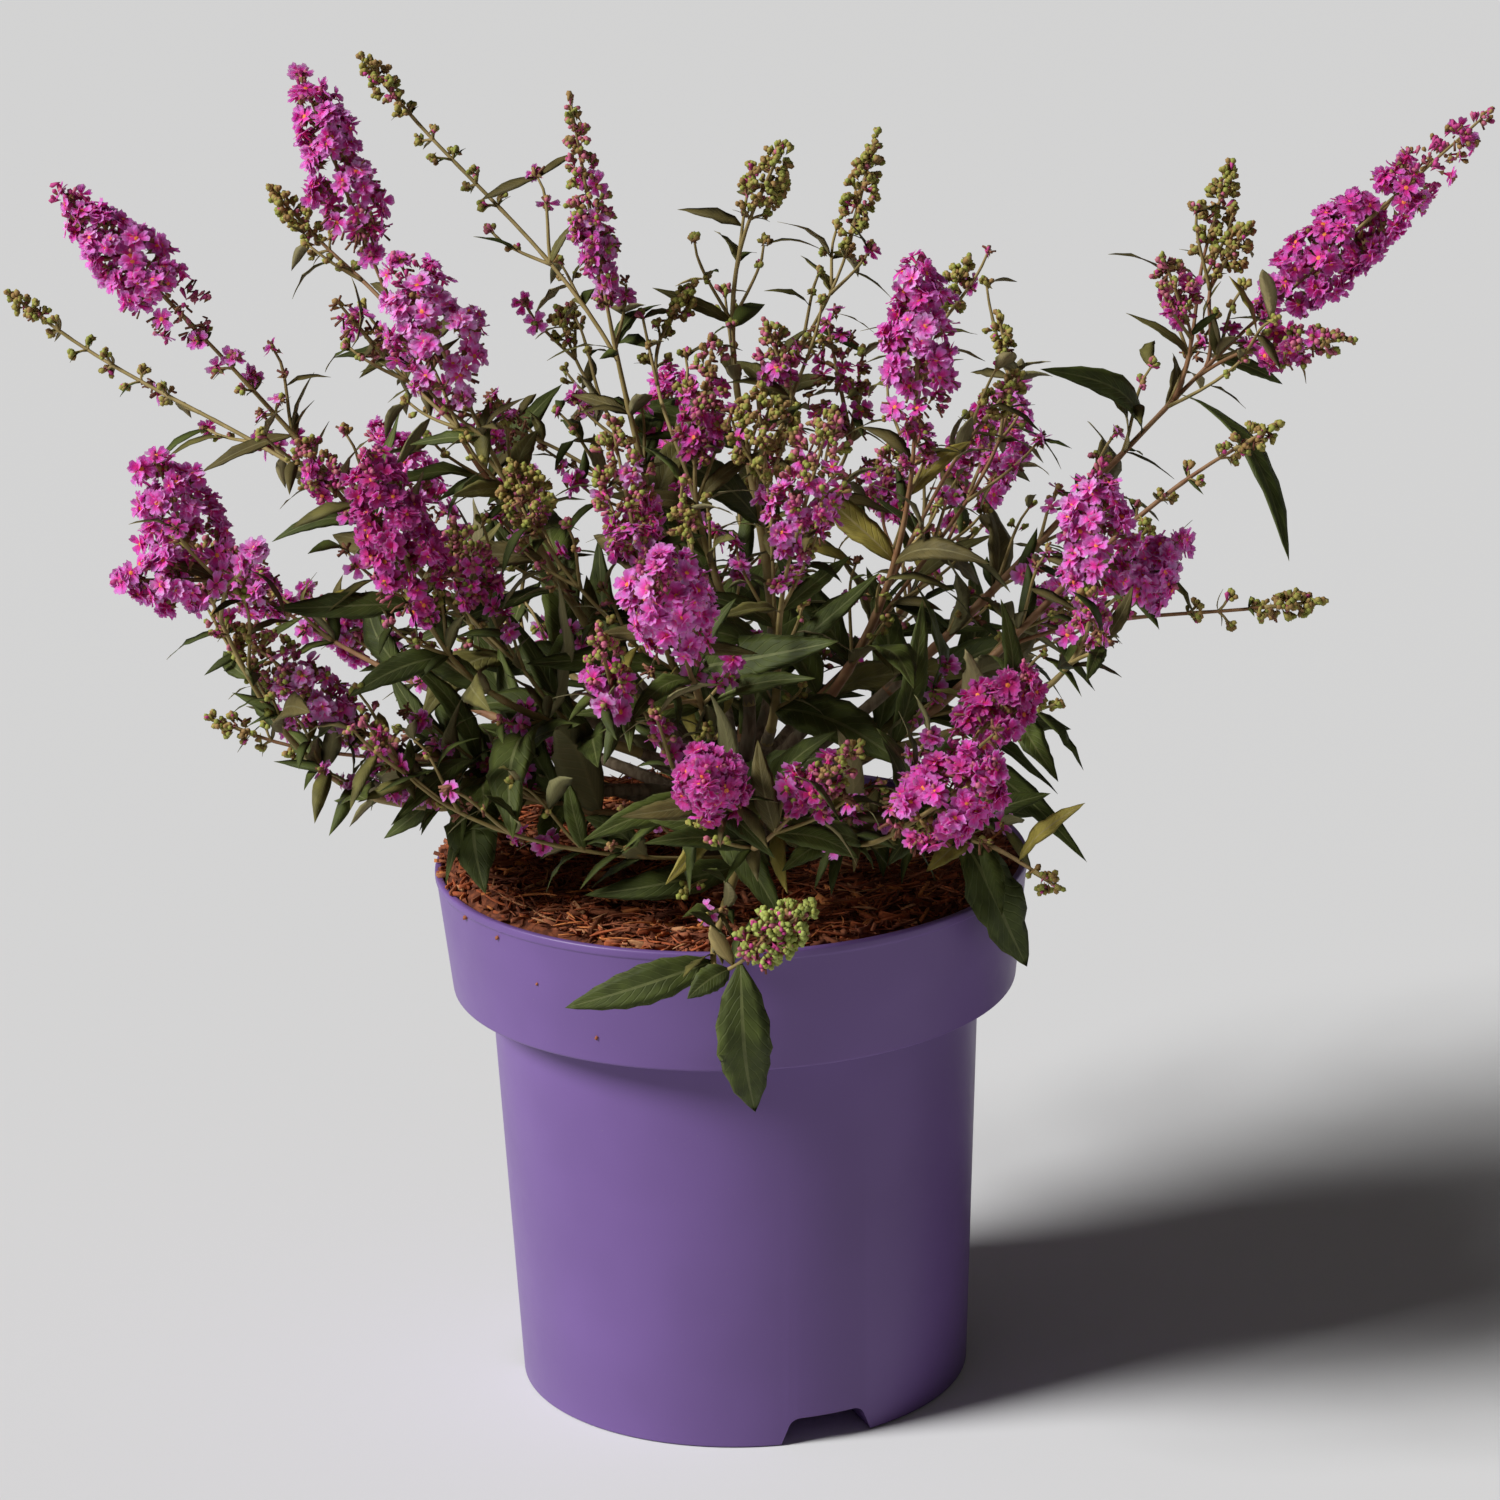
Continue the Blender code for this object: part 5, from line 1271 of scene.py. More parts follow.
def make_pot():
    """The pot: rounded rim bead and band, drainage channels and their holes."""
    band_foot = POT_HEIGHT - BAND_HEIGHT
    bead_foot = POT_HEIGHT - BEAD_HEIGHT
    lip = RIM_RADIUS - BEAD_DEPTH
    inner = lip - WALL
    rise = (BODY_TOP_RADIUS - BASE_RADIUS) / band_foot
    profile = (
        (0, 0, 0), (BASE_RADIUS, 0, 0.0008), (BODY_TOP_RADIUS, band_foot, 0),
        (BAND_FOOT_RADIUS, band_foot, 0.0012), (lip, bead_foot, 0.0004),
        (RIM_RADIUS, bead_foot + BEAD_DEPTH, 0.0006), (RIM_RADIUS, POT_HEIGHT, 0.0011),
        (inner, POT_HEIGHT, 0.0008), (BAND_FOOT_RADIUS - WALL, band_foot + WALL, 0.0008),
        (BODY_TOP_RADIUS - WALL, band_foot + WALL, 0.0008),
        (BASE_RADIUS + rise * POT_FLOOR - WALL, POT_FLOOR, 0.002), (0, POT_FLOOR, 0))
    bm = spun([(p.x, p.y) for p in rounded(profile)], POT_SECTORS)
    pot = bpy.data.objects.new("pot_shell", mesh_from(bm, "pot_shell"))
    bpy.context.scene.collection.objects.link(pot)
    tools = []
    for i in range(CHANNEL_COUNT):
        turn = math.radians(CHANNEL_TURN + i * 360 / CHANNEL_COUNT)
        reach = (CHANNEL_INNER_END + CHANNEL_OUTER_END) / 2
        bm = bmesh.new()
        made = bmesh.ops.create_cube(bm, size=1.0)
        height = CHANNEL_HEIGHT + CUT_OVERRUN
        for v in made["verts"]:
            wide = CHANNEL_TOP_WIDTH if v.co.z > 0 else CHANNEL_FOOT_WIDTH
            v.co.x = reach + v.co.x * (CHANNEL_OUTER_END - CHANNEL_INNER_END)
            v.co.y = v.co.y * wide
            v.co.z = -CUT_OVERRUN + (v.co.z + 0.5) * height
        top = [e for e in bm.edges if min(v.co.z for v in e.verts) > 0
               and abs(e.verts[0].co.y - e.verts[1].co.y) < 1e-6]
        bmesh.ops.bevel(bm, geom=top, offset=CHANNEL_ROUNDING, affect="EDGES", segments=4,
                        profile=0.5, material=-1)
        drill = Matrix.Translation((DRAIN_HOLE_PLACE, 0, POT_FLOOR))
        bmesh.ops.create_cone(bm, cap_ends=True, segments=24, radius1=DRAIN_HOLE_RADIUS,
                              radius2=DRAIN_HOLE_RADIUS, depth=CUT_DRILL_DEPTH, matrix=drill)
        bmesh.ops.rotate(bm, verts=bm.verts, cent=(0, 0, 0),
                         matrix=Matrix.Rotation(turn, 3, "Z"))
        tool = bpy.data.objects.new("cut_" + str(i), mesh_from(bm, "cut_" + str(i)))
        bpy.context.scene.collection.objects.link(tool)
        cut = pot.modifiers.new("cut", "BOOLEAN")
        cut.operation = "DIFFERENCE"
        cut.solver = "EXACT"
        cut.use_self = True
        cut.object = tool
        tools.append(tool)
    graph = bpy.context.evaluated_depsgraph_get()
    mesh = bpy.data.meshes.new_from_object(pot.evaluated_get(graph))
    pot.modifiers.clear()
    pot.data = mesh
    for tool in tools:
        bpy.data.objects.remove(tool)
    mesh.name = "pot_shell"
    mesh.shade_smooth()
    mesh.set_sharp_from_angle(angle=math.radians(POT_SHARP_ANGLE))
    mesh.materials.clear()
    mesh.materials.append(MATERIALS["pot"])
    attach(pot, "root")
    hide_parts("pot")


def mulch_height(x, y):
    """Height of the mulch's surface, before its small roughness."""
    radius = math.hypot(x, y)
    radii, heaps = zip(*MULCH_RINGS)
    heap = np.interp(radius, radii, heaps)
    turn = math.atan2(y, x) - math.radians(HEAP_TURN)
    heap += HEAP_HEIGHT * max(0.0, math.cos(turn)) * min(1.0, radius / MULCH_SLOPE_START)
    rise, middle = EDGE_HEAP
    turn = math.atan2(y, x) - math.radians(middle)
    heap += rise * max(0.0, math.cos(turn)) ** 3 * np.interp(radius, *zip(*EDGE_HEAP_RINGS))
    fall = max(0.0, (radius - MULCH_SLOPE_START) / (MULCH_RADIUS - MULCH_SLOPE_START))
    return MULCH_CENTRE_HEIGHT - MULCH_SLOPE_DROP * fall + heap * HEAP_SHARE


def make_mulch_bed():
    """One closed body of mulch, rough on top, that fills the pot down to its floor."""
    band_foot = POT_HEIGHT - BAND_HEIGHT
    rise = (BODY_TOP_RADIUS - BASE_RADIUS) / band_foot
    room = WALL + MULCH_WALL_GAP
    edge = RIM_RADIUS - BEAD_DEPTH - room
    top = [(MULCH_RADIUS * i / BED_RINGS, MULCH_CENTRE_HEIGHT) for i in range(BED_RINGS)]
    bm = spun([*top, (edge, mulch_height(edge, 0) - BED_EDGE_SUNK),
               (BAND_FOOT_RADIUS - room, band_foot + room),
               (BODY_TOP_RADIUS - room, band_foot + room),
               (BASE_RADIUS + rise * POT_FLOOR - room, POT_FLOOR + MULCH_WALL_GAP),
               (0, POT_FLOOR + MULCH_WALL_GAP)], BED_SIDES)
    for v in bm.verts:
        x, y, height = v.co
        if height > MULCH_CENTRE_HEIGHT - 1e-5:
            fade = min(1.0, (MULCH_RADIUS - math.hypot(x, y)) / BED_SMOOTH_EDGE)
            lumps = sum(noise.noise(Vector((x, y, seed)) * scale) * size
                        for scale, size, seed in BED_LUMPS)
            v.co.z = mulch_height(x, y) - BED_SUNK + lumps * fade
    mesh = mesh_from(bm, "mulch_bed")
    mesh.shade_smooth()
    show(mesh, [MATERIALS["mulch_bed"]], ["soil"])


def on_mulch(radius, turn, lift):
    """A place on the mulch, by its radius and its turn in radians, moved up by lift."""
    x, y = radius * math.cos(turn), radius * math.sin(turn)
    return np.array([x, y, mulch_height(x, y) + lift])


def chip_kind(rng):
    """Which of the kinds a chip or shred is."""
    return rng.choices(range(len(CHIP_KINDS)), CHIP_MIX)[0]


def any_way(rng, low, high):
    """A direction with a lean between these two, at any turn."""
    return direction(rng.uniform(low, high), rng.uniform(0, 360))


def make_chips(rng):
    """Loose chips of bark on the bed and on the rim, and a few crumbs on the pot's band."""
    chips = Scatter(CHIP_SHAPE, CHIP_CORNERS, [0] * len(CHIP_CORNERS))
    for _ in range(CHIP_COUNT):
        turn = rng.uniform(0, math.tau)
        size = rng.choice(CHIP_SIZES) * rng.uniform(0.7, 1.3)
        radius = (MULCH_RADIUS - CHIP_EDGE_GAP - size) * rng.random() ** CHIP_PLACING
        if radius < TRUNK_NECK_RADIUS * 0.8:
            continue
        way = any_way(rng, 90 - CHIP_TILT, 90 + CHIP_TILT)
        place = on_mulch(radius, turn, rng.uniform(*CHIP_LIFTS))
        dims = (size * rng.uniform(*CHIP_BREADTHS), size * rng.uniform(*CHIP_THICKNESSES), size)
        chips.put(place, way, rng.uniform(-0.5, 0.5) + math.pi / 2, dims, chip_kind(rng))
    for _ in range(RIM_CHIPS):
        turn = math.radians(EDGE_HEAP[1] + rng.gauss(0, 1) * RIM_CHIP_SPREAD)
        place = on_mulch(rng.uniform(*RIM_CHIP_PLACES), turn, 0)
        size = rng.uniform(*RIM_CHIP_SIZES)
        place[2] = max(place[2], POT_HEIGHT + RIM_CHIP_LIFT) + rng.uniform(0, RIM_CHIP_HEAP)
        chips.put(place, any_way(rng, 90 - RIM_CHIP_TILT, 90 + RIM_CHIP_TILT), math.pi / 2,
                  (size * 0.22, size * 0.12, size), chip_kind(rng))
    for x, y, z, size, turn, kind in CHOSEN_CHIPS:
        chips.put((x, y, z), direction(CHOSEN_CHIP_LEAN, turn), math.pi / 2,
                  (size * 0.42, size * 0.12, size), kind)
    for a, drop, size in BAND_CRUMBS:
        lean = (RIM_RADIUS - BAND_FOOT_RADIUS) / BAND_HEIGHT
        radius = RIM_RADIUS - BEAD_DEPTH - (drop - BEAD_HEIGHT) * lean + size * 0.25
        turn = math.radians(a)
        chips.put((radius * math.cos(turn), radius * math.sin(turn), POT_HEIGHT - drop),
                  (math.cos(turn), math.sin(turn), 0.2), turn, (size, size * 0.7, size * 0.6), 1)
    harvest = Harvest("mulch_chips", named(CHIP_KINDS), "soil", ["soil"])
    chips.gather(harvest)
    harvest.join()


def make_shreds(rng):
    """Thin bent shreds of bark among the chips."""
    shreds = Harvest("mulch_shreds", named(CHIP_KINDS), "soil", ["soil"])
    for _ in range(SHRED_COUNT):
        turn = rng.uniform(0, math.tau)
        radius = (MULCH_RADIUS - SHRED_EDGE_GAPS[0]) * math.sqrt(rng.random())
        if radius < TRUNK_NECK_RADIUS:
            continue
        start = on_mulch(radius, turn, rng.uniform(0, SHRED_LIFT))
        way = any_way(rng, *SHRED_LEANS)
        length = rng.uniform(*SHRED_LENGTHS)
        bend = any_way(rng, 50, 130) * length * SHRED_BEND
        t = np.linspace(0, 1, len(SHRED_TAPER))[:, None]
        line = start + way * length * t + bend * t * (1 - t)
        if math.hypot(*line[-1][:2]) > MULCH_RADIUS - SHRED_EDGE_GAPS[1]:
            continue
        points, corners = tube(line, rng.uniform(*SHRED_RADII) * SHRED_TAPER, 4)
        shreds.add(points[None], corners, np.full((1, len(corners)), chip_kind(rng)))
    shreds.join()


# Materials

class Value:
    """A number in a shader, with plain arithmetic."""

    def __init__(self, shader, socket):
        self.shader = shader
        self.socket = socket

    def math(self, operation, *others):
        return self.shader.node("ShaderNodeMath", {"operation": operation}, [self, *others])

    def __add__(self, other):
        return self.math("ADD", other)

    def __radd__(self, other):
        return self.math("ADD", other)

    def __sub__(self, other):
        return self.math("SUBTRACT", other)

    def __rsub__(self, other):
        return self.shader.node("ShaderNodeMath", {"operation": "SUBTRACT"}, [other, self])

    def __mul__(self, other):
        return self.math("MULTIPLY", other)

    def __rmul__(self, other):
        return self.math("MULTIPLY", other)

    def abs(self):
        return self.math("ABSOLUTE")

    def sine(self):
        return self.math("SINE")

    def step(self, low, high):
        """0 below low, 1 above high, smooth between them."""
        return self.shader.node("ShaderNodeMapRange", {"interpolation_type": "SMOOTHSTEP"},
                                {"Value": self, "From Min": low, "From Max": high})


class Shader:
    """One material under construction."""

    def __init__(self, name, colour, roughness, gloss=0.35):
        self.material = bpy.data.materials.new(name)
        self.material.use_nodes = True
        self.tree = self.material.node_tree
        self.main = self.tree.nodes["Principled BSDF"]
        self.main.inputs["Base Color"].default_value = (*colour, 1)
        self.main.inputs["Roughness"].default_value = roughness
        self.main.inputs["Specular IOR Level"].default_value = gloss

    def node(self, kind, settings, inputs, output=0):
        """A node of any type: its settings, and its inputs by name or in order."""
        made = self.tree.nodes.new(kind)
        for key, value in settings.items():
            setattr(made, key, value)
        pairs = inputs.items() if isinstance(inputs, dict) else enumerate(inputs)
        for key, value in pairs:
            if isinstance(value, Value):
                self.tree.links.new(value.socket, made.inputs[key])
            else:
                made.inputs[key].default_value = value
        return Value(self, made.outputs[output])

    def place(self):
        """The point on the object, in metres."""
        return self.node("ShaderNodeTexCoord", {}, {}, "Object")

    def uv(self):
        """The two coordinates of the point in the piece's own map."""
        both = self.node("ShaderNodeUVMap", {"uv_map": "UVMap"}, {})
        return [self.node("ShaderNodeSeparateXYZ", {}, [both], k) for k in (0, 1)]

    def noise(self, scale, detail=3.0, where=None):
        """Smooth noise from 0 to 1 about 0.5."""
        where = where or self.place()
        return self.node("ShaderNodeTexNoise", {}, {"Vector": where, "Scale": scale,
                                                    "Detail": detail})

    def stretched(self, x, y, z):
        """The point on the object, stretched by these factors."""
        return self.node("ShaderNodeMapping", {}, {"Vector": self.place(), "Scale": (x, y, z)})

    def mix(self, factor, first, second):
        """A colour between two colours."""
        settings = {"data_type": "RGBA"}
        inputs = {0: factor}
        for index, colour in ((6, first), (7, second)):
            inputs[index] = colour if isinstance(colour, Value) else (*colour, 1)
        return self.node("ShaderNodeMix", settings, inputs, 2)

    def set(self, name, value):
        """Feeds an input of the main shader."""
        self.tree.links.new(value.socket, self.main.inputs[name])

    def bump(self, height, strength, distance):
        """Feeds the normal by a height in units of the distance."""
        self.set("Normal", self.node("ShaderNodeBump", {}, {
            "Strength": strength, "Distance": distance, "Height": height}))


def named(names):
    """The materials of these names."""
    return [MATERIALS[name] for name in names]


def scaled(colour, factor):
    """A colour made lighter or darker."""
    return tuple(c * factor for c in colour)


def mottled(name, first, second, scale, roughness, bump=0.0, distance=0.0003):
    """A material that wanders between two colours, with an even grain."""
    shader = Shader(name, first, roughness)
    grain = shader.noise(scale)
    shader.set("Base Color", shader.mix(grain.step(0.36, 0.66), first, second))
    if bump:
        shader.bump(shader.noise(scale * 2.5), bump, distance)
    return shader.material


def leaf_material(name, colour, edge):
    """The quilted upper face of a leaf: veins that run to a paler edge."""
    shader = Shader(name, colour, 0.62, 0.22)
    u, v = shader.uv()
    out = (u * 2 - 1).abs()
    patch = shader.noise(120.0, 2.0)
    wave = ((v * VEINS - out * VEIN_SLANT + patch * 1.2) * math.tau).sine()
    vein = wave.step(0.72, 1.0)
    tone = shader.mix(patch.step(0.3, 0.7), scaled(colour, 0.72), scaled(colour, 1.28))
    veined = shader.mix(vein * 0.28, tone, edge)
    shader.set("Base Color", shader.mix(out.step(0.84, 1.0) * 0.7, veined, edge))
    quilt = 1 - vein
    shader.bump(quilt + shader.noise(2600.0) * 0.5, 0.55, 0.0004)
    return shader.material


def felt_material(name, colour):
    """The felted underside of a leaf, with raised veins."""
    shader = Shader(name, colour, 0.9)
    u, v = shader.uv()
    out = (u * 2 - 1).abs()
    vein = ((v * VEINS - out * VEIN_SLANT) * math.tau).sine().step(0.6, 1.0)
    rib = out.step(0.0, 0.16)
    shade = shader.mix(rib * (1 - vein * 0.5), scaled(colour, 1.25), colour)
    shader.set("Base Color", shade)
    shader.bump(vein + shader.noise(3000.0) * 0.6, 0.4, 0.0004)
    return shader.material


def petal_material(name, light, throat_colour_and_shade):
    """A petal, deeper in colour towards the throat: partly its own colour, partly painted shade in
    the throat.
    """
    shader = Shader(name, light, 0.7, 0.15)
    for key, value in PETAL_DEPTH.items():
        shader.main.inputs["Subsurface " + key].default_value = value
    reach = shader.uv()[0]
    patch = shader.mix(shader.noise(260.0).step(0.35, 0.65), light, scaled(light, 0.85))
    # Painted shade in part: the petal darkens towards its throat
    shader.set("Base Color", shader.mix(reach.step(0.25, 0.90), throat_colour_and_shade, patch))
    return shader.material


def pot_material():
    """Lavender plastic, a little scuffed, with faint flow marks down the band."""
    shader = Shader("pot_plastic", POT_COLOUR, 0.42)
    cloud = shader.noise(18.0, 2.0)
    flow = shader.noise(6.0, 2.0, shader.stretched(1, 1, 0.08))
    tone = shader.mix(cloud.step(0.3, 0.7), scaled(POT_COLOUR, 0.94), scaled(POT_COLOUR, 1.05))
    tone = shader.mix(flow.step(0.60, 0.75) * 0.25, tone, scaled(POT_COLOUR, 1.3))
    dust = shader.noise(900.0, 2.0).step(0.70, 0.80)
    shader.set("Base Color", shader.mix(dust * 0.25, tone, DUST_COLOUR))
    shader.set("Roughness", shader.noise(70.0, 3.0) * 0.16 + 0.34)
    shader.bump(shader.noise(1400.0, 2.0), 0.06, 0.0002)
    return shader.material


def bark_material():
    """Grey-brown bark in long flakes."""
    shader = Shader("bark", BARK_COLOURS[0], 0.85)
    long = shader.noise(420.0, 4.0, shader.stretched(1, 1, 0.22))
    tone = shader.mix(long.step(0.38, 0.62), BARK_COLOURS[0], BARK_COLOURS[1])
    shader.set("Base Color", shader.mix(shader.noise(90.0).step(0.5, 0.7), tone, BARK_COLOURS[2]))
    shader.bump(long, 0.8, 0.0006)
    return shader.material


def make_materials():
    """Every material of the plant, by name."""
    made = {"pot": pot_material(), "bark": bark_material()}
    for name, (first, second, scale, roughness, bump) in PLAIN_FINISHES.items():
        made[name] = mottled(name, first, second, scale, roughness, bump)
    for k, colour in enumerate(LEAF_COLOURS):
        made[f"leaf_{k}"] = leaf_material(f"leaf_{k}", colour, LEAF_EDGES[k])
        made[f"rib_{k}"] = mottled(f"rib_{k}", RIB_COLOURS[k], scaled(RIB_COLOURS[k], 0.8),
                                   300.0, 0.7)
        made[f"felt_{k}"] = felt_material(f"felt_{k}", FELT_COLOURS[k])
    for k, (light, throat_colour_and_shade) in enumerate(PETAL_COLOURS):
        made[f"petal_{k}"] = petal_material(f"petal_{k}", light, throat_colour_and_shade)
        # The tube takes the throat's colour, darker still: partly its own colour, partly painted
        # shade
        made[f"tube_{k}"] = mottled(f"tube_{k}", scaled(throat_colour_and_shade, 0.90), scaled(throat_colour_and_shade, 0.60),
                                    300.0, 0.7)
    return made


# The dressed crown

def spike_profile(spike):
    """Shares of a spike's length, and the share of its radius that it has at each."""
    table = SLIM_PROFILE if spike["radius"] < SLIM_SPIKE else SPIKE_PROFILE
    return zip(*table)


def add_cyme(centre, way, size, count, spread, kind, share, tint, things, rng):
    """A small cluster: flowers, buds or spent flowers on the outer side of a lump."""
    for _ in range(count):
        aim = unit(way + spread * unit([rng.gauss(0, 1) for _ in range(3)]) * rng.random() ** 0.4)
        reach = size * rng.uniform(0.55, 1.0)
        put_item(kind, share, centre + aim * reach, aim, reach, tint, things, rng)


def dress_spike(spike, tint, things, rng):
    """Whorls of small clusters up a flower spike, each turned from the last."""
    kind = DRESSED_AS.get(tuple(spike["tip"]), spike["kind"])
    if kind == "leafy":
        return
    shares, radii = spike_profile(spike)
    along = spike["along"]
    length, radius = spike["length"], spike["radius"]
    fullness, first, last, full_size, full_count = SPIKE_KINDS[kind]
    where = 0.0
    spin = rng.uniform(0, math.pi)
    while where < length:
        share = where / length
        wide = radius * float(np.interp(share, shares, radii)) * fullness
        place = spike["foot"] + along * where
        size = min(wide * CYME_SHARE, full_size * (1.12 - 0.5 * share))
        heads = 2 if wide < THIN_WHORL else 3 if wide < SLIM_WHORL else rng.choice(WIDE_HEADS)
        for k in range(heads):
            turn = spin + math.tau * k / heads + rng.uniform(-0.4, 0.4)
            out = turned(across(along), along, turn)
            far = max(0.0, wide - size * 0.8) * rng.uniform(0.70, 1.08)
            centre = place + out * far + along * rng.uniform(-0.4, 0.4) * first
            lean = SPIKE_LEAN[0] + (SPIKE_LEAN[1] - SPIKE_LEAN[0]) * share
            way = out * math.cos(lean) + along * math.sin(lean)
            count = max(1, round(full_count * (size / full_size) ** 1.4))
            add_cyme(centre, way, size, count, 0.95, kind, share, tint, things, rng)
        if wide > THIN_WHORL:
            out = turned(across(along), along, spin + rng.uniform(0, 3))
            add_cyme(place, out, wide * 0.5, INNER_BUDS, 1.3, "core", share, tint, things, rng)
        spin += rng.uniform(0.5, 2.5)
        where += (first + (last - first) * share) * rng.uniform(0.9, 1.1)
    add_cyme(spike["tip"] - along * 0.002, along, 0.0022, 5, 0.7, kind, 1.0, tint, things, rng)
    line = spike["foot"] + along * (length * 0.96 * np.linspace(0, 1, 6))[:, None]
    add_stem(things["stems"], line, np.linspace(STEM_TIP_RADIUS, TWIG_TIP_RADIUS, 6),
             STEM_OLIVE, 5)


def put_item(kind, share, spot, way, reach, tint, things, rng):
    """One flower, bud or spent flower, as its kind of spike and its place on it ask for."""
    odds = ITEM_ODDS[kind]
    row = odds[min(len(odds) - 1, int(share * len(odds)))]
    what = rng.choices(("flower", "bright_bud", "bud", "club", "spent"), row)[0]
    spin = rng.uniform(0, math.tau)
    way = unit(way + 0.22 * np.array([rng.gauss(0, 1) for _ in range(3)]))
    if what == "flower":
        size = FLOWER_RADIUS * rng.uniform(0.82, 1.14)
        depth = min(1.0, max(0.45, (reach + 0.002) / (FLOWER_RADIUS * TUBE_LENGTH)))
        shape = rng.choice(things["flowers"])
        shade = tint if rng.random() < 0.70 else rng.choice(TINT_NEIGHBOURS[tint])
        shape.put(spot - way * 0.001, way, spin, (size, size, size * depth), shade * 2)
    elif what == "spent":
        size = rng.uniform(*ITEM_SIZES[what])
        droop = unit(way + np.array([0, 0, -0.5]))
        things["husks"].put(spot, droop, spin, (size, size, size * 1.5), rng.randrange(2))
    else:
        size = rng.uniform(*ITEM_SIZES[what])
        tints = BRIGHT_BUD_TINTS if what == "bright_bud" else BUD_TINTS[kind]
        shape, sunk, stretch = BUD_SHAPES[what]
        things[shape].put(spot - way * size * sunk, way, spin, (size, size, size * stretch),
                          tints[rng.randrange(3)])


def dress_loose(line, start, kind, tint, things, rng):
    """Loose opposite clusters on short stalks along the last part of a stem."""
    total = lengths_along(line)[-1]
    where = total - CLUSTER_FIRST * 0.6
    spin = rng.uniform(0, math.pi)
    while where > start:
        place, tangent = at_length(line, where)
        for side in (0, 1):
            out = turned(across(tangent), tangent, spin + side * math.pi)
            way = unit(out * 0.8 + tangent * 0.6)
            end = place + way * rng.uniform(*STALK_LENGTHS)
            middle = (place + end) / 2 + tangent * STALK_BOW
            add_stem(things["stems"], np.array([place, middle, end]), STALK_RADII, STEM_OLIVE, 5)
            share = rng.uniform(0.35, 0.75)
            add_cyme(end, way, rng.uniform(*CLUSTER_SIZES), rng.randint(*CLUSTER_COUNTS), 1.1,
                     LOOSE_KINDS[kind], share, tint, things, rng)
            tip = place + unit(out + tangent * 0.2) * rng.uniform(*BRACT_LENGTHS)
            things["small"].put(place, tip, BRACT_WIDTH, rng.uniform(-0.5, 0.5),
                                rng.randrange(3), rng)
        spin += math.pi / 2
        where -= CLUSTER_STEP * rng.uniform(*UNEVEN)


def leaf_look(rng, height, yellow=0.04):
    """Which of the leaf colours a leaf takes. The last is yellow, for this share of them."""
    if rng.random() < yellow:
        return LEAF_KINDS - 1
    high = float(np.interp(height, LEAF_MIX_HEIGHTS, (0, 1)))
    mix = [a + (b - a) * high for a, b in zip(LOW_LEAF_MIX, HIGH_LEAF_MIX)]
    return rng.choices(range(LEAF_KINDS - 1), mix)[0]


def grow_crown(shoots, taken, rng):
    """Every stem, leaf, flower and bud of the crown."""
    leaf_slots = named([f"{kind}_{k}" for kind in ("leaf", "rib", "felt")
                        for k in range(LEAF_KINDS)])
    petal_slots = named([f"{kind}_{k}" for k in range(len(PETAL_COLOURS))
                         for kind in ("petal", "tube")])
    leaves = Harvest("leaves", leaf_slots, "foliage", MASSES)
    small = Harvest("small_leaves", leaf_slots, "foliage", MASSES)
    stems = Harvest("stems", named(STEM_KINDS), "foliage", MASSES)
    flowers = Harvest("flowers", named(("flower_eye", "calyx")) + petal_slots, None, MASSES,
                      smooth=False)
    buds = Harvest("buds", named(BUD_KINDS), None, MASSES)
    husks = Harvest("spent_flowers", named(HUSK_KINDS), "foliage", MASSES)
    bud = joined([(ring_shape(BUD_RINGS, 5, 0.1, 3), FIRST_TINT),
                  (ring_shape(BUD_CALYX_RINGS, 5, 0.1, 4), CALYX_SLOT)])
    things = {"stems": stems,
              "big": Blades(14, (-1, -0.55, -0.07, 0.07, 0.55, 1), True, 0.9),
              "small": Blades(8, (-1, 0, 1), False, 0.95),
              "flowers": [Scatter(*flower_shape(*form)) for form in FLOWER_FORMS],
              "buds": Scatter(*bud),
              "clubs": Scatter(*joined([(ring_shape(CLUB_RINGS, 5, 0.08, 5), FIRST_TINT)])),
              "husks": Scatter(*joined([(ring_shape(HUSK_RINGS, 5, 0.2, 7), 0)]))}
    for _ in range(SOURCE_DRAWS_MULCH):
        rng.random()
    looks = random.Random(SEED + 2)
    for shoot in shoots:
        for spike in shoot["spikes"]:
            if spike["kind"] != "leafy":
                for _ in next(spike_profile(spike)):
                    rng.random()
        leaves_here = grow_leaves(shoot, rng)
        others = [x for name, xs in taken.items() if name != shoot["name"] for x in xs]
        crowd = (np.concatenate([line for line, _ in others]),
                 np.concatenate([thick for _, thick in others]))
        grown = [leaf for leaf in (settled(leaf, crowd) for leaf in leaves_here)
                 if leaf is not None]
        dress_shoot(shoot, grown, things, looks)
    things["big"].gather(leaves)
    things["small"].gather(small)
    for shape in things["flowers"]:
        reach = np.linalg.norm(shape.points[:, :2], axis=1)
        shape.gather(flowers, np.stack([reach, shape.points[:, 2]], axis=1))
    things["buds"].gather(buds)
    things["clubs"].gather(buds)
    things["husks"].gather(husks)
    for harvest in (leaves, small, stems, flowers, buds, husks):
        harvest.join()


def by_height(table, height):
    """The value that a table of two or more heights and values gives for a height."""
    return float(np.interp(height, *table))


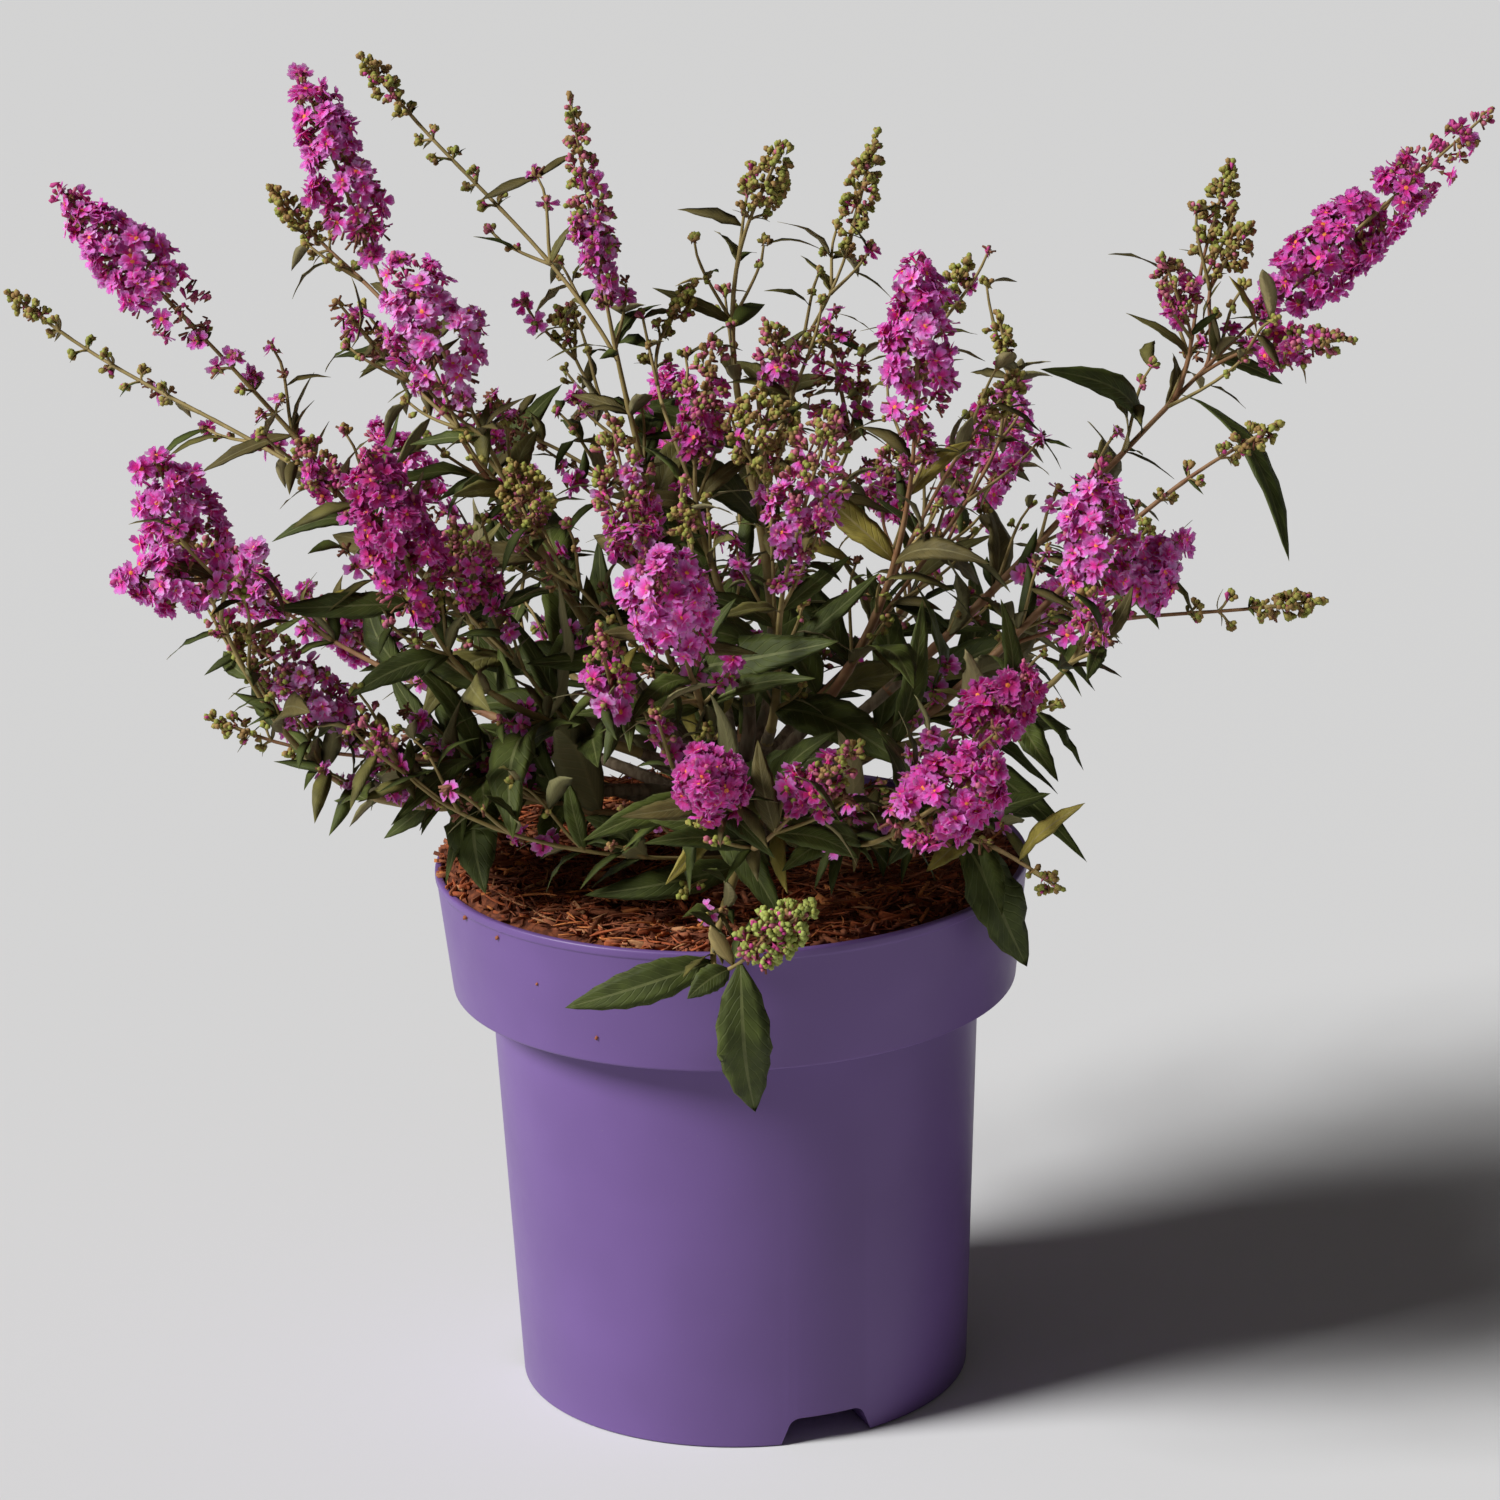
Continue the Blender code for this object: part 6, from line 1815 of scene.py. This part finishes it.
def dress_leaf(leaf, things, rng):
    """One leaf of the rule, with the small leaves and the twig that grow beside it."""
    height = leaf["root"][2]
    look = leaf_look(rng, height)
    if leaf["lone"]:
        things["big"].put(leaf["root"], leaf["tip"], leaf["width"] * LONE_FULLNESS,
                          facing_roll(leaf), 1, rng)
        return
    grown = rng.uniform(*LEAF_GROWN) * (SIDE_LEAF_SIZE if "small" in leaf else 1)
    grown *= by_height(LEAF_LENGTH, height)
    tip = leaf["root"] + (leaf["tip"] - leaf["root"]) * grown
    width = leaf["width"] * grown * rng.uniform(*LEAF_SLIMNESS) * by_height(LEAF_BREADTH, height)
    facing = np.clip(facing_roll(leaf), -FACING_LIMIT, FACING_LIMIT)
    roll = OWN_ROLL_SHARE * leaf["roll"] + FACING_SHARE * facing
    left_out = SIDE_THINNING if "small" in leaf else by_height(LEAF_THINNING, height)
    if leaf["root"][0] < LOW_LEFT[0] and height < LOW_LEFT[1]:
        left_out = max(left_out, LOW_LEFT[2])
    if rng.random() > left_out:
        things["big"].put(leaf["root"], tip, width, roll, look, rng)
    if rng.random() < by_height(AXIL_SHARE, height):
        axil_leaves(leaf, things["small"], rng)
    if rng.random() < TWIG_SHARE:
        short_twig(leaf, things, rng)


def dress_shoot(shoot, grown, things, rng):
    """One shoot: its leaves, stems, spikes and loose clusters."""
    stem_kind = rng.choice(range(len(STEM_KINDS)))
    for leaf in grown:
        dress_leaf(leaf, things, rng)
    along = lengths_along(shoot["main"])
    bare = along >= BOUGH_SHARE * along[-1] - BOUGH_OVERLAP
    slim = np.linspace(*STEM_SLIMNESS, bare.sum())
    add_stem(things["stems"], shoot["main"][bare], shoot["radii"][bare] * slim, stem_kind, 8)
    for side in shoot["sides"]:
        add_stem(things["stems"], side, side_radii(side) * STEM_SLIMNESS[1], stem_kind)
    lines = [shoot["main"]] + shoot["sides"]
    tints = SPIKE_TINTS.get(shoot["name"], (1, 1, 1, 1, 1))
    for line, spike, tint in zip(lines, shoot["spikes"], tints):
        dress_spike(spike, tint, things, rng)
        if spike["loose"] > 0:
            free = max(lengths_along(line)[-1] - spike["loose"], CLUSTER_FREE_FOOT)
            dress_loose(line, free, spike["kind"], tint, things, rng)
    for leaf in leaf_pairs(shoot["main"], LOW_LEAF_FREE, along[-1] * BOUGH_SHARE, LOW_LEAF_STEP, rng):
        if in_crown(leaf["tip"]) and rng.random() < LOW_LEAF_SHARE:
            tip = leaf["root"] + (leaf["tip"] - leaf["root"]) * rng.uniform(*LOW_LEAF_LENGTHS)
            things["small"].put(leaf["root"], tip, leaf["width"] * LOW_LEAF_WIDTH, leaf["roll"],
                                leaf_look(rng, tip[2], yellow=0.15), rng)


def facing_roll(leaf):
    """The roll that turns a leaf's upper face outwards, to the front and up."""
    along = unit(leaf["tip"] - leaf["root"])
    side = unit(np.cross(along, (0, 0, 1)))
    outwards = unit(leaf["tip"] * (1, 1, 0) + FACING)
    return math.atan2(np.dot(side, outwards), np.dot(np.cross(side, along), outwards))


def put_small_leaf(place, way, length, yellow, small, rng):
    """One small leaf of this length, of a width and a roll of its own."""
    small.put(place, place + way * length, length * rng.uniform(*SMALL_LEAF_WIDTHS),
              rng.uniform(-SMALL_LEAF_ROLL, SMALL_LEAF_ROLL),
              leaf_look(rng, place[2], yellow), rng)


def axil_leaves(leaf, small, rng):
    """A pair of small leaves in the angle between a leaf and its stem."""
    along = unit(leaf["tip"] - leaf["root"])
    side = unit(np.cross(along, leaf["stem"]))
    for way in (1, -1):
        aim = unit(along * 0.9 + leaf["stem"] * 0.4 + side * way * rng.uniform(0.3, 0.7)
                   - SMALL_LEAF_DROOP)
        put_small_leaf(leaf["root"], aim, rng.uniform(*AXIL_LEAF_LENGTHS), 0.06, small, rng)


def short_twig(leaf, things, rng):
    """A short twig from a leaf's axil, with small leaves, and clusters up it and at its end."""
    aim = unit(unit(leaf["tip"] - leaf["root"]) * 0.6 + leaf["stem"] * 0.8)
    long = rng.uniform(*TWIG_LENGTHS)
    end = leaf["root"] + aim * long + np.array([0, 0, long * 0.15])
    line = bezier(leaf["root"], leaf["root"] + aim * long * 0.4,
                  end - leaf["stem"] * long * 0.3, end, 6)
    if not in_crown(end):
        return
    total = lengths_along(line)[-1]
    add_stem(things["stems"], line, np.linspace(TWIG_RADIUS, TWIG_TIP_RADIUS, 6), STEM_OLIVE, 5)
    for share in TWIG_NODES:
        place, tangent = at_length(line, share * total)
        spin = rng.uniform(0, math.pi)
        for side in (0, 1):
            out = turned(across(tangent), tangent, spin + side * math.pi)
            way = unit(tangent * 0.6 + out * 0.8 - SMALL_LEAF_DROOP)
            size = rng.uniform(*TWIG_LEAF_LENGTHS)
            look = leaf_look(rng, place[2], yellow=0.05)
            if rng.random() < by_height(TWIG_LEAF_SHARE, place[2]):
                things["small"].put(place, place + way * size,
                                    size * rng.uniform(*SMALL_LEAF_WIDTHS),
                                    rng.uniform(-SMALL_LEAF_ROLL, SMALL_LEAF_ROLL), look, rng)
    kind, share = rng.choice(HIGH_TWIG_HEADS if end[2] > HIGH_TWIGS else TWIG_HEADS)
    middle, tangent = at_length(line, total * rng.uniform(0.5, 0.8))
    for side in (1, -1):
        out = unit(across(tangent) * side + tangent * 0.5)
        add_cyme(middle + out * 0.003, out, 0.002, rng.randint(3, 6), 1.0, kind, share, 1,
                 things, rng)
    add_cyme(end, unit(end - line[-2]), rng.uniform(*TWIG_HEAD_SIZES),
             rng.randint(*TWIG_HEAD_COUNTS), 1.0, kind, share, rng.choice((1, 2)), things, rng)


# Camera, light and floor

def make_stage():
    """A pale floor, a soft key light from the left and a weak sky."""
    floor = bpy.data.meshes.new("floor")
    bm = bmesh.new()
    bmesh.ops.create_grid(bm, x_segments=1, y_segments=1, size=FLOOR_SIZE)
    bm.to_mesh(floor)
    bm.free()
    ground = bpy.data.objects.new("floor", floor)
    bpy.context.scene.collection.objects.link(ground)
    ground.location.z = -FLOOR_DROP
    floor.materials.append(Shader("floor", FLOOR_COLOUR, 0.9).material)
    lamp = bpy.data.lights.new("key", "SUN")
    lamp.energy = KEY_STRENGTH
    lamp.angle = math.radians(KEY_SOFTNESS)
    key = bpy.data.objects.new("key", lamp)
    bpy.context.scene.collection.objects.link(key)
    toward = Vector(direction(KEY_LEAN, KEY_TURN))
    key.rotation_euler = toward.to_track_quat("Z", "Y").to_euler()
    world = bpy.data.worlds.new("sky")
    bpy.context.scene.world = world
    world.use_nodes = True
    sky = world.node_tree.nodes["Background"]
    sky.inputs["Color"].default_value = (*SKY, 1)
    sky.inputs["Strength"].default_value = SKY_STRENGTH
    bpy.context.scene.view_settings.view_transform = "Standard"


def make_camera():
    """The photo's camera."""
    yaw = math.radians(CAMERA_YAW)
    pitch = math.radians(CAMERA_PITCH)
    roll = math.radians(CAMERA_ROLL)
    ahead = Vector((math.sin(yaw) * math.cos(pitch), math.cos(yaw) * math.cos(pitch),
                    -math.sin(pitch)))
    right = Vector((math.cos(yaw), -math.sin(yaw), 0))
    up = right.cross(ahead)
    right, up = (right * math.cos(roll) + up * math.sin(roll),
                 up * math.cos(roll) - right * math.sin(roll))
    data = bpy.data.cameras.new("camera")
    data.sensor_width = SENSOR
    data.lens = CAMERA_FOCAL / IMAGE_SIZE * SENSOR
    data.clip_end = 200
    camera = bpy.data.objects.new("camera", data)
    bpy.context.scene.collection.objects.link(camera)
    lift = math.radians(CAMERA_ELEVATION)
    place = Vector(CAMERA_TARGET) + CAMERA_DISTANCE * Vector((0, -math.cos(lift), math.sin(lift)))
    turn = Matrix((right, up, -ahead)).transposed()
    camera.matrix_world = Matrix.Translation(place) @ turn.to_4x4()
    bpy.context.scene.camera = camera


MATERIALS = make_materials()
rng = random.Random(SEED)
shoots, taken = grow_skeleton()
make_pot()
make_mulch_bed()
mulch_rng = random.Random(SEED + 1)
make_chips(mulch_rng)
make_shreds(mulch_rng)
make_trunk()
make_boughs(shoots)
grow_crown(shoots, taken, rng)
make_stage()
make_camera()
